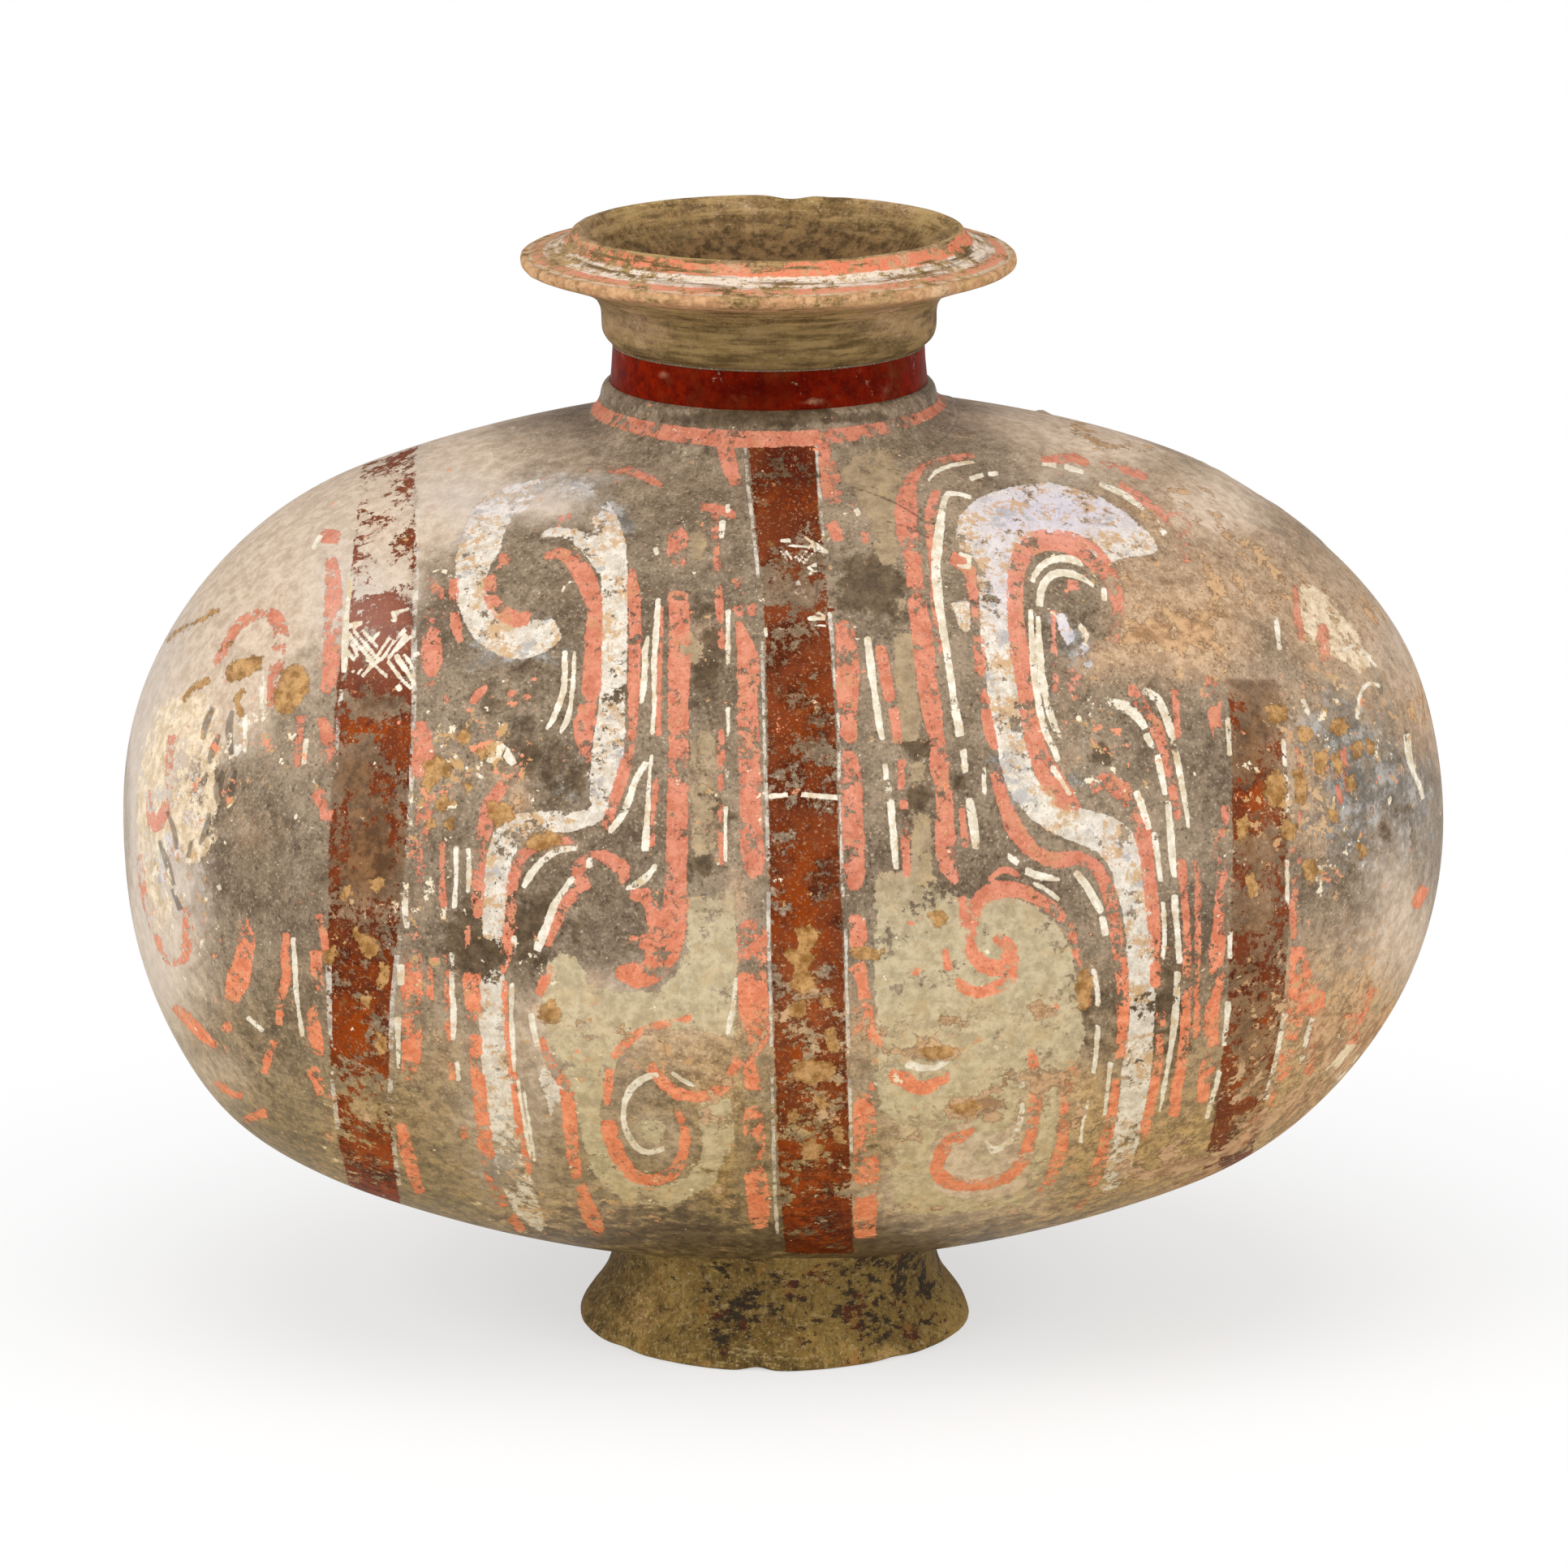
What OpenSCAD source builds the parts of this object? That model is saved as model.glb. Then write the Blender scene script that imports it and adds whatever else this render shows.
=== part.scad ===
// Cocoon jar in painted grey earthenware: a cocoon-shaped body lying on its side on a ring foot,
// with an upright neck and a dished mouth rim on top.
// X runs along the cocoon, Z is up, and the origin is on the resting plane under the body's middle.
// The body is two thrown halves. Neck, rim and foot are thrown apart and luted on with slip.

/* [Body] */
// Length of the cocoon from end to end
body_length = 340; // [310:1:380]
// Diameter of the cocoon at its middle
body_diameter = 224.6; // [214:0.2:236]
// Radius of the rounded ends
end_radius = 100; // [88:1:104]
// Wall of the two thrown halves
body_wall = 7; // [5:0.5:9]
// How far the long axis leans, with the end at +X the higher one
body_tilt = 1; // [0:0.1:2]

/* [Luted seams] */
// Film of slip in each seam
slip = 0.5; // [0.3:0.1:1]
// Slant of the scarfed edges where the two halves meet
scarf_angle = 45; // [20:1:55]
// How far the coil pressed over the seam inside stands off the wall
seam_coil_rise = 3; // [2:0.5:5]
// Radius of that coil's rounded face
seam_coil_round = 14; // [10:1:20]

/* [Neck] */
// Offset of the neck from the body's middle along the cocoon
neck_shift = -2.8; // [-6:0.1:6]
// Outside diameter of the neck where it passes through the body
neck_diameter = 80.8; // [76:0.2:84]
// Diameter at the neck's waist, under the rim
waist_diameter = 79.4; // [75:0.2:80]
// Bore of the throat
throat_diameter = 66; // [58:0.5:67]
// Height of the neck's shoulder, where the rim sits, above the top of the body
neck_height = 13.5; // [11:0.5:20]
// How far the neck's lower edge reaches below the top of the body's outside
neck_depth = 14; // [12:0.5:18]

/* [Neck coil] */
// Diameter of the ridge around the neck's base
ridge_diameter = 84.8; // [84:0.2:90]
// Height of the coil's top edge above the top of the body
coil_height = 3.6; // [2.5:0.1:6]
// Radius of the hollow curve from the ridge to the body
coil_hollow = 14; // [11:1:16]
// How deep that curve runs into the body, so that its edge is clean
coil_bite = 1; // [0.6:0.1:1.5]

/* [Mouth rim] */
// Height of the rim from the neck's shoulder to the top of the lip
rim_height = 29.6; // [28:0.2:34]
// Depth of the socket that goes over the neck's end
socket_depth = 10.5; // [8:0.5:11.5]
// Wall of the neck's end inside that socket
spigot_wall = 4.2; // [3.5:0.1:4.5]
// Diameter of the moulding under the flange
moulding_diameter = 84.8; // [84:0.2:90]
// Height of the moulding's slanted lower edge
moulding_slant = 5.4; // [4:0.2:7]
// Outside diameter of the flange
flange_diameter = 125.6; // [118:0.2:136]
// Thickness of the flange at its rounded edge
flange_edge = 3.6; // [3:0.2:5]
// Drop from the top of the lip to the top of the flange's edge
flange_drop = 6.5; // [5:0.1:8]
// Diameter of the lip, over its outside
lip_diameter = 99.4; // [94:0.2:104]
// Thickness of the rounded lip
lip_width = 3.2; // [2.4:0.2:4.4]
// Rise of the flange's underside, from the moulding to the edge
underside_rise = 4; // [3:0.2:6]

/* [Foot] */
// Offset of the foot from the body's middle along the cocoon
foot_shift = -1.4; // [-6:0.1:6]
// Height of the body's lowest point above the resting plane
foot_height = 19.3; // [17:0.1:26]
// Outside diameter at the top of the foot
foot_top_diameter = 84.4; // [78:0.2:90]
// Outside diameter at the base of the foot
foot_base_diameter = 101.4; // [96:0.2:112]
// Width of the face that the jar rests on, between its rounded edges
foot_face_width = 6; // [4:0.5:8]
// Rounding of the foot's lower edges
foot_edge_round = 2.6; // [1.5:0.1:3.5]
// Wall at the top of the foot
foot_wall = 8; // [6:0.5:9]

/* [Hidden] */
$fn = 240;
arc_steps = 10;

// Colours as the pieces show them
bare_clay = [0.50, 0.46, 0.39];
wet_slip = [0.60, 0.55, 0.46];
red_pigment = [0.42, 0.09, 0.06];
coral_pigment = [0.88, 0.47, 0.36];
tan_soil = [0.66, 0.54, 0.39];
olive_dirt = [0.48, 0.44, 0.34];

// The cocoon's outline is a four-centre oval
body_radius = body_diameter / 2;
end_offset = body_length / 2 - end_radius;
belly_radius = (pow(end_offset, 2) + pow(body_radius, 2) - pow(end_radius, 2))
    / (2 * (body_radius - end_radius));
belly_offset = belly_radius - body_radius;
sector_reach = 1 + 2 * end_radius / norm([belly_offset, end_offset]);
axis_z = foot_height + body_radius;
body_top_z = axis_z + body_radius;

// The scarfed seam runs through the middle of the wall at the body's middle
seam_radius = body_radius - body_wall / 2;
inside_radius = body_radius - body_wall;

// Neck, from the lower edge inside the body to the end inside the rim
neck_radius = neck_diameter / 2;
hole_radius = neck_radius + slip;
throat_radius = throat_diameter / 2;
spigot_radius = throat_radius + spigot_wall;
shoulder_z = body_top_z + neck_height;
spigot_top_z = shoulder_z + slip + socket_depth;

// The coil's hollow meets the front of the body, and the bite keeps the two from just touching
ridge_radius = ridge_diameter / 2;
hollow_radius = ridge_radius + coil_hollow;
ridge_z = axis_z + sqrt(pow(body_radius + coil_hollow, 2) - pow(hollow_radius, 2)) - coil_bite;
coil_outer_radius = hollow_radius * body_radius / (body_radius + coil_hollow);
coil_top_z = body_top_z + coil_height;

// Rim
rim_bottom_z = shoulder_z + slip;
rim_top_z = shoulder_z + rim_height;
socket_radius = spigot_radius + slip;
socket_top_z = spigot_top_z + slip;
moulding_radius = moulding_diameter / 2;
flange_round = flange_edge / 2;
flange_centre_r = flange_diameter / 2 - flange_round;
flange_centre_z = rim_top_z - flange_drop - flange_round;
lip_round = lip_width / 2;
lip_centre_r = lip_diameter / 2 - lip_round;
lip_centre_z = rim_top_z - lip_round;

// Foot
foot_base_radius = foot_base_diameter / 2;
foot_top_radius = foot_top_diameter / 2;
foot_top_inside = foot_top_radius - foot_wall;
foot_base_inside = foot_base_radius - foot_face_width - 2 * foot_edge_round;

// Points along an arc about (cx, cy), counted in degrees from the first axis
function arc(cx, cy, r, from, to) =
    [for (i = [0 : arc_steps]) let (a = from + (to - from) * i / arc_steps) [cx + r * cos(a), cy + r * sin(a)]];

// Half outline of the cocoon, drawn along the second axis, shrunk all round by the inset
module cocoon_outline(inset) {
    intersection() {
        union() {
            for (side = [-1, 1])
                translate([0, side * end_offset])
                    circle(r = end_radius - inset);
            intersection() {
                translate([-belly_offset, 0])
                    circle(r = belly_radius - inset);
                polygon([
                    [-belly_offset, 0],
                    [(sector_reach - 1) * belly_offset, -sector_reach * end_offset],
                    [(sector_reach - 1) * belly_offset, sector_reach * end_offset]
                ]);
            }
        }
        translate([0, -body_length])
            square([body_diameter, 2 * body_length]);
    }
}

// Turns an outline about the cocoon's long axis
module along_cocoon() {
    translate([0, 0, axis_z])
        rotate([0, 90 - body_tilt, 0])
            rotate_extrude()
                children();
}

module cocoon(inset) {
    along_cocoon()
        cocoon_outline(inset);
}

// Wall of the body between its outside and its inside, with the hole for the neck
module pierced_wall() {
    difference() {
        cocoon(0);
        cocoon(body_wall);
        on_neck()
            translate([0, 0, axis_z])
                cylinder(r = hole_radius, h = body_diameter);
    }
}

// Slice of the body between two cones set at the scarf's slant
module scarf_slice(from, to) {
    slant = tan(scarf_angle);
    along_cocoon()
        polygon([
            [0, -seam_radius * slant + from],
            [body_diameter, (body_diameter - seam_radius) * slant + from],
            [body_diameter, (body_diameter - seam_radius) * slant + to],
            [0, -seam_radius * slant + to]
        ]);
}

module on_neck() {
    translate([neck_shift, 0, 0])
        children();
}

module on_foot() {
    translate([foot_shift, 0, 0])
        children();
}

// Thrown half at -X, scarfed at its edge
module left_body_half() {
    color(bare_clay)
        intersection() {
            pierced_wall();
            scarf_slice(-2 * body_length, -slip / 2);
        }
}

// Thrown half at +X, whose scarf laps under the other half's
module right_body_half() {
    color(bare_clay)
        intersection() {
            pierced_wall();
            scarf_slice(slip / 2, 2 * body_length);
        }
}

// Slip between the two scarfed edges
module body_seam_slip() {
    color(wet_slip)
        intersection() {
            pierced_wall();
            scarf_slice(-slip / 2, slip / 2);
        }
}

// Coil of clay pressed over the seam from inside, cut where the neck comes through
module body_seam_coil() {
    color(bare_clay)
        difference() {
            along_cocoon()
                intersection() {
                    translate([inside_radius - seam_coil_rise + seam_coil_round, -body_wall / 2 * tan(scarf_angle)])
                        circle(r = seam_coil_round);
                    cocoon_outline(body_wall);
                }
            on_neck()
                translate([0, 0, axis_z])
                    cylinder(r = hole_radius, h = body_diameter);
        }
}

// Neck tube, from inside the body up to the thinned end that the rim goes over
module neck_collar() {
    color(red_pigment)
        on_neck()
            rotate_extrude()
                polygon([
                    [throat_radius, body_top_z - neck_depth],
                    [neck_radius, body_top_z - neck_depth],
                    [neck_radius, coil_top_z],
                    [waist_diameter / 2, shoulder_z],
                    [spigot_radius, shoulder_z],
                    [spigot_radius, spigot_top_z],
                    [throat_radius, spigot_top_z]
                ]);
}

// Slip around the neck where it passes through the wall
module neck_seam_slip() {
    color(wet_slip)
        difference() {
            intersection() {
                cocoon(0);
                on_neck()
                    translate([0, 0, axis_z])
                        cylinder(r = hole_radius, h = body_diameter);
            }
            cocoon(body_wall);
            on_neck()
                cylinder(r = neck_radius, h = 2 * body_top_z);
        }
}

// Coil worked round the neck's base: a low ridge that hollows out into the body
module neck_joint_coil() {
    color(coral_pigment)
        difference() {
            on_neck()
                rotate_extrude()
                    difference() {
                        polygon([
                            [neck_radius, axis_z],
                            [neck_radius, coil_top_z],
                            [ridge_radius, ridge_z],
                            [coil_outer_radius, ridge_z],
                            [coil_outer_radius, axis_z]
                        ]);
                        translate([hollow_radius, ridge_z])
                            circle(r = coil_hollow);
                    }
            cocoon(0);
        }
}

// Mouth with its socket, moulding, sloping flange and lip, dished inside down to the throat
module mouth_rim() {
    color(tan_soil)
        on_neck()
            rotate_extrude()
                polygon(concat(
                    [
                        [socket_radius, rim_bottom_z],
                        [waist_diameter / 2, rim_bottom_z],
                        [moulding_radius, rim_bottom_z + moulding_slant],
                        [moulding_radius, flange_centre_z - flange_round - underside_rise]
                    ],
                    arc(flange_centre_r, flange_centre_z, flange_round, -80, 70),
                    arc(lip_centre_r, lip_centre_z, lip_round, 20, 180),
                    [
                        [throat_radius, socket_top_z],
                        [socket_radius, socket_top_z]
                    ]
                ));
}

// Slip between the rim's socket and the neck
module mouth_seam_slip() {
    color(wet_slip)
        on_neck()
            rotate_extrude()
                polygon([
                    [waist_diameter / 2, shoulder_z],
                    [waist_diameter / 2, rim_bottom_z],
                    [socket_radius, rim_bottom_z],
                    [socket_radius, socket_top_z],
                    [throat_radius, socket_top_z],
                    [throat_radius, spigot_top_z],
                    [spigot_radius, spigot_top_z],
                    [spigot_radius, shoulder_z]
                ]);
}

// Outline of the flared foot, tall enough to be cut to the body's underside
module foot_outline() {
    polygon(concat(
        [
            [foot_top_inside, axis_z],
            [foot_top_inside, foot_height]
        ],
        arc(foot_base_inside + foot_edge_round, foot_edge_round, foot_edge_round, 180, 270),
        arc(foot_base_radius - foot_edge_round, foot_edge_round, foot_edge_round, -90, 30),
        [
            [foot_top_radius + 1.4, foot_height - 6.6],
            [foot_top_radius + 0.2, foot_height - 3],
            [foot_top_radius, foot_height],
            [foot_top_radius, axis_z]
        ]
    ));
}

// Ring foot, its top cut to the underside of the body
module foot_ring() {
    color(olive_dirt)
        difference() {
            on_foot()
                rotate_extrude()
                    foot_outline();
            cocoon(-slip);
        }
}

// Slip between the foot and the body
module foot_seam_slip() {
    color(wet_slip)
        difference() {
            intersection() {
                cocoon(-slip);
                on_foot()
                    difference() {
                        cylinder(r = foot_top_radius, h = axis_z);
                        cylinder(r = foot_top_inside, h = axis_z);
                    }
            }
            cocoon(0);
        }
}

left_body_half();
right_body_half();
body_seam_slip();
body_seam_coil();
neck_collar();
neck_seam_slip();
neck_joint_coil();
mouth_rim();
mouth_seam_slip();
foot_ring();
foot_seam_slip();
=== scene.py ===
# %% [markdown]
# # A painted cocoon jar
# This jar is thrown in grey earthenware as two open bowls that are laid mouth to mouth,
# so that the body lies on its side like a cocoon. A short neck, a wide mouth and a foot
# ring are luted on with slip. After firing it was painted cold with red, coral and white
# cloud scrolls, and it spent a long time in the ground. The lesson remakes the pieces one
# by one over the CAD frame, then paints, wears and soils them.

# %% Load the CAD frame
import math
import bpy
import numpy as np
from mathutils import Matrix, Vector, noise


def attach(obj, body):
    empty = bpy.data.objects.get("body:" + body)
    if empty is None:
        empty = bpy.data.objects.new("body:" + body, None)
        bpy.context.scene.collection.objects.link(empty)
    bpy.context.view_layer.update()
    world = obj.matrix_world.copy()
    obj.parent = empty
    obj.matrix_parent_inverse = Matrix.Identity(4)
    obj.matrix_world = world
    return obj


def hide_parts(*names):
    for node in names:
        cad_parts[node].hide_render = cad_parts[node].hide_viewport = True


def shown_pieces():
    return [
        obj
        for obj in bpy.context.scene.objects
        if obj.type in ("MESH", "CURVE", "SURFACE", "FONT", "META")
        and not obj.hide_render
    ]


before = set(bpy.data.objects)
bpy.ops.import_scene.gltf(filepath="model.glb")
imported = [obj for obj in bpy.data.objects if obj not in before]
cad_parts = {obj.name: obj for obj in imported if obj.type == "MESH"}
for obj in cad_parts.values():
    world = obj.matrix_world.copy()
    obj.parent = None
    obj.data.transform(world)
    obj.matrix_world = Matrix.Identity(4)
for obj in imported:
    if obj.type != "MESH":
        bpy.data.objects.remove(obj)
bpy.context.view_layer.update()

# %% [markdown]
# ## Where the photograph was taken from
# The photograph's own viewpoint is found from the ellipses of the mouth and the foot. The
# same numbers do two jobs: they set the camera, and they carry the painter's lines, which
# are written in photograph pixels, onto the clay. The back is painted like the front, so a
# point behind the jar takes the paint of its mirror point in front.

# %% Viewpoint
photo_side = 1932
focal_px = 9786.0
eye = Vector((0.0011, -1.9784, 0.6346))
eye_pitch = math.radians(13.98)
mm_per_px = 0.2086


def photo_pixels(points):
    """Where points of the jar, in metres, fall in the photograph."""
    x = points[:, 0] - eye.x
    y = -np.abs(points[:, 1]) - eye.y
    z = points[:, 2] - eye.z
    depth = y * math.cos(eye_pitch) - z * math.sin(eye_pitch)
    rise = y * math.sin(eye_pitch) + z * math.cos(eye_pitch)
    return photo_side / 2 + focal_px * x / depth, photo_side / 2 - focal_px * rise / depth


# %% [markdown]
# ## Turning a piece
# Nearly every piece is round, so it is made the way a potter makes it: half of its section
# is drawn point by point by extruding one vertex, and the section is spun about its axis.
# Doubled points are merged, the faces turned outwards and the coarse net is rounded finer by
# subdivision; close pairs of points keep an edge sharp. A hand-made piece is never quite
# round, so small pushes are added afterwards.

# %% Turning helpers
MM = 0.001
UP = Vector((0, 0, 1))
smooth_angle = math.radians(50)
merge_gap = 0.00001


def turn(name, section, centre, axis, steps, rounds):
    """Draw a section by extruding one vertex, spin it into a closed piece and smooth it finer."""
    bpy.ops.object.select_all(action="DESELECT")
    bpy.ops.mesh.primitive_plane_add(size=0.001)
    piece = bpy.context.object
    piece.name = piece.data.name = name
    bpy.ops.object.mode_set(mode="EDIT")
    bpy.ops.mesh.select_all(action="SELECT")
    bpy.ops.mesh.merge(type="CENTER")
    bpy.ops.transform.translate(value=section[0])
    for here, there in zip(section, section[1:]):
        bpy.ops.mesh.extrude_region_move(TRANSFORM_OT_translate={"value": there - here})
    bpy.ops.mesh.select_all(action="SELECT")
    bpy.ops.mesh.spin(steps=steps, angle=math.tau, center=centre, axis=axis)
    bpy.ops.mesh.select_all(action="SELECT")
    bpy.ops.mesh.remove_doubles(threshold=merge_gap)
    bpy.ops.mesh.normals_make_consistent(inside=False)
    bpy.ops.object.mode_set(mode="OBJECT")
    finer = piece.modifiers.new("finer", "SUBSURF")
    finer.levels = finer.render_levels = rounds
    bpy.ops.object.modifier_apply(modifier=finer.name)
    bpy.ops.object.shade_smooth_by_angle(angle=smooth_angle)
    return piece


def points_of(piece):
    flat = np.empty(len(piece.data.vertices) * 3)
    piece.data.vertices.foreach_get("co", flat)
    return flat.reshape(-1, 3)


def move_points(piece, points):
    piece.data.vertices.foreach_set("co", points.ravel())
    piece.data.update()


def grain(points, size_mm, seed):
    """Smooth noise from -1 to 1 at each point."""
    place = points / (size_mm * MM) + seed * 17.3
    return np.array([noise.noise(Vector(p)) for p in place])


def smooth_line(places, spacing):
    """A smooth curve through places, sampled evenly; a width after x and y goes along."""
    p = np.vstack((places[:1], places, places[-1:]))
    line = [p[1]]
    for a, b, c, d in zip(p, p[1:], p[2:], p[3:]):
        count = max(1, int(np.hypot(*(c - b)[:2]) / spacing))
        for k in range(1, count + 1):
            t = k / count
            line.append(0.5 * (2 * b + (c - a) * t + (2 * a - 5 * b + 4 * c - d) * t**2
                               + (3 * b - a - 3 * c + d) * t**3))
    return np.array(line)


def pick(piece):
    """Make a piece the only selected and the active one."""
    bpy.ops.object.select_all(action="DESELECT")
    bpy.context.view_layer.objects.active = piece
    piece.select_set(True)


# %% [markdown]
# ## The two body bowls
# The side of the cocoon is a four-centre oval: a long belly arc and a round end arc that
# meet in a tangent. Each bowl is this curve outside and the same curve, one wall thickness
# in, inside. The bowls meet at a scarf, so the left one laps under the right one. The axis
# climbs by one degree to the right, as it does in the photograph.

# %% Body bowls
body_length, body_width, end_radius, wall = 340.0, 224.6, 100.0, 7.0
axis_height, body_tilt = 131.6, math.radians(1.0)
tilt_rise = 0.0175
end_centre = body_length / 2 - end_radius
belly_radius = ((end_centre**2 + (body_width / 2)**2 - end_radius**2)
                / (body_width - 2 * end_radius))
belly_drop = belly_radius - body_width / 2
long_way = Vector((math.cos(body_tilt), 0, math.sin(body_tilt)))
up_way = Vector((-math.sin(body_tilt), 0, math.cos(body_tilt)))
body_middle = Vector((0, 0, axis_height * MM))
meet_angle = math.atan2(belly_drop, end_centre)
skin = 0.26
seam = 3.5
sharp = 0.1
spin_steps = 68


def bowl_curve(inset, count_end, count_belly, stop):
    """From the pole to the seam, as (along, out) in mm on the positive end."""
    line = []
    end = end_radius - inset
    for k in range(count_end):
        a = meet_angle * k / count_end
        line.append((end_centre + end * math.cos(a), end * math.sin(a)))
    r = belly_radius - inset
    first = math.asin((end_centre + end * math.cos(meet_angle)) / r)
    last = math.asin(stop / r)
    for k in range(count_belly + 1):
        a = first + (last - first) * k / count_belly
        line.append((r * math.sin(a), r * math.cos(a) - belly_drop))
    return line


def bowl(name, side):
    """One bowl; close pairs of points keep the edges of its scarf sharp."""
    outside = bowl_curve(-skin, 24, 22, side * seam)
    inside = bowl_curve(wall, 4, 3, -side * seam)
    (u, v), (iu, iv) = outside[-1], inside[-1]
    keep_sharp = [(u + sharp, v), (u, v), (u - side * sharp, v - sharp),
                  (iu + side * sharp, iv + sharp), (iu, iv), (iu + sharp, iv)]
    line = outside[:-1] + keep_sharp + inside[-2::-1]
    section = [body_middle + long_way * (side * u * MM) + up_way * (v * MM) for u, v in line]
    return turn(name, section, body_middle, long_way, spin_steps, 2)


left_bowl = bowl("left_body_painted", -1)
right_bowl = bowl("right_body_painted", 1)
print("belly arc", round(belly_radius, 1), "mm; bowl points", len(left_bowl.data.vertices))

# %% [markdown]
# The hole for the neck is cut through both bowls with one round cutter, as the potter cuts
# it after the bowls are joined.

# %% Neck hole
neck_x, hole_radius, cutter_length, cutter_middle = -2.8, 40.9, 80, 245
bpy.ops.object.select_all(action="DESELECT")
bpy.ops.mesh.primitive_cylinder_add(vertices=160, radius=hole_radius * MM, depth=cutter_length * MM,
                                    location=(neck_x * MM, 0, cutter_middle * MM))
cutter = bpy.context.object
for piece in (left_bowl, right_bowl):
    pick(piece)
    cut = piece.modifiers.new("neck hole", "BOOLEAN")
    cut.object, cut.operation, cut.solver = cutter, "DIFFERENCE", "MANIFOLD"
    bpy.ops.object.modifier_apply(modifier=cut.name)
    bpy.ops.object.shade_smooth_by_angle(angle=smooth_angle)
pick(cutter)
bpy.ops.object.delete()
print("neck hole cut;", [len(p.data.polygons) for p in (left_bowl, right_bowl)], "faces")

# %% [markdown]
# The real body isn't a perfect oval. Its left end is a little flat, its lower left is full
# and its upper right is a little lean. Each push is a soft dent or swell round one place of
# the outline (x, z), and a slow waver stands for the throwing. Crumbs of burial soil still
# stick to the body and stand proud of it; each is placed by its photograph pixel.

# %% Hand-made pushes
pushes = ((-168, 128, 40, -2.0), (-139, 62, 34, 2.2), (122, 206, 34, -1.7), (160, 175, 28, 1.0),
          (-118, 205, 40, 0.4), (150, 70, 36, -0.4))
crumbs = ((300, 823, 24, 16, 1.6), (360, 850, 24, 31, 2.1), (676, 1246, 18, 15, 0.8),
          (1156, 1132, 13, 11, 0.9), (1292, 555, 8, 5, 0.8), (1150, 1296, 30, 9, 0.7),
          (1192, 1364, 24, 8, 0.8), (1336, 1218, 12, 26, 0.7), (866, 770, 18, 12, 0.4),
          (665, 1036, 30, 14, 0.6), (1420, 800, 40, 26, 0.6), (1515, 770, 30, 40, 0.6),
          (1560, 900, 26, 40, 0.7), (1590, 690, 50, 60, 0.5), (1470, 640, 60, 40, 0.5),
          (1640, 1240, 40, 60, 0.5), (455, 1130, 34, 18, 0.7), (560, 925, 26, 20, 0.4),
          (1660, 840, 40, 50, 0.5))
waver, crumb_rag = 0.35, 0.45


def hand_made(points):
    """Outward push in mm for points of the body."""
    push = np.zeros(len(points))
    for x, z, spread, amount in pushes:
        far = ((points[:, 0] - x * MM)**2 + (points[:, 2] - z * MM)**2) / (spread * MM)**2
        push += amount * np.exp(-2 * far)
    px, py = photo_pixels(points)
    ragged = crumb_rag * grain(points, 5, 31)
    for cx, cy, wide, tall, amount in crumbs:
        dome = 1 - ((px - cx) / wide)**2 - ((py - cy) / tall)**2 + ragged
        push += amount * np.sqrt(np.clip(dome, 0, 1))
    quiet = np.clip(np.abs(points[:, 0]) / 0.03 - 0.4, 0, 1)
    return push + waver * quiet * grain(points, 70, 1)


for piece in (left_bowl, right_bowl):
    points = points_of(piece)
    middle = np.array(body_middle) + np.clip(points[:, :1], -0.07, 0.07) * np.array(long_way)
    out = points - middle
    out /= np.linalg.norm(out, axis=1)[:, None]
    move_points(piece, points + out * (hand_made(points) * MM)[:, None])


def body_height(x, y):
    """Height in mm of the body's top at a place (x, y) in mm."""
    out = np.sqrt(belly_radius**2 - x**2) - belly_drop
    return axis_height + np.sqrt(out**2 - y**2) + tilt_rise * x


# %% [markdown]
# ## Neck, coil, mouth and foot
# The neck collar is a plain ring, a little waisted, with a spigot on top that the mouth sits
# on. The coil of clay that seals it is smoothed down onto the body in a hollow, so it drops
# more in front, where the body falls away, than at the sides.

# %% Neck collar and its coil
neck_centre = Vector((neck_x * MM, 0, 0))


def ring(name, centre, curve, spacing, closing, steps):
    """A round piece from a smooth outside curve and the corners that close it (radius, height)."""
    line = [*smooth_line(curve, spacing), *closing]
    section = [centre + Vector((r * MM, 0, z * MM)) for r, z in line]
    return turn(name, section, centre, UP, steps, 2)


neck_curve = [(40.3, 230), (40.35, 243), (40.3, 248), (40.0, 251), (39.75, 254), (39.65, 256.4),
              (39.5, 257.35)]
neck_closing = [(39.4, 257.4), (37.3, 257.4), (37.2, 257.5), (37.2, 268.3), (37.1, 268.4),
                (33.1, 268.4), (33.0, 268.3), (33.0, 230.2), (33.2, 230), (40.1, 230), (40.3, 230)]
neck = ring("neck_collar_red", neck_centre, neck_curve, 2.0, neck_closing, 80)

coil_start, coil_top, coil_run, coil_fall, coil_steps = 42.75, 244.0, 16.0, 10.0, 12
coil_curve = [(39.6, 247.9), (40.5, 247.8), (41.6, 247.2), (42.3, 246.2), (42.6, 245.0),
              (coil_start, coil_top)]
coil_slope = [(coil_start + coil_run * k / coil_steps, coil_top - coil_fall * k / coil_steps)
              for k in range(1, coil_steps + 1)]
coil_closing = [(57, 231), (42, 231), (39.6, 235), (39.6, 247.9)]
coil = ring("neck_coil_draped", neck_centre, coil_curve, 1.2, coil_slope + coil_closing, 100)

# %% [markdown]
# The coil's outer slope is laid down on the body: it reaches further to the front and back
# than to the sides, and its foot follows the body's own height. Its underside goes into it.

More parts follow.
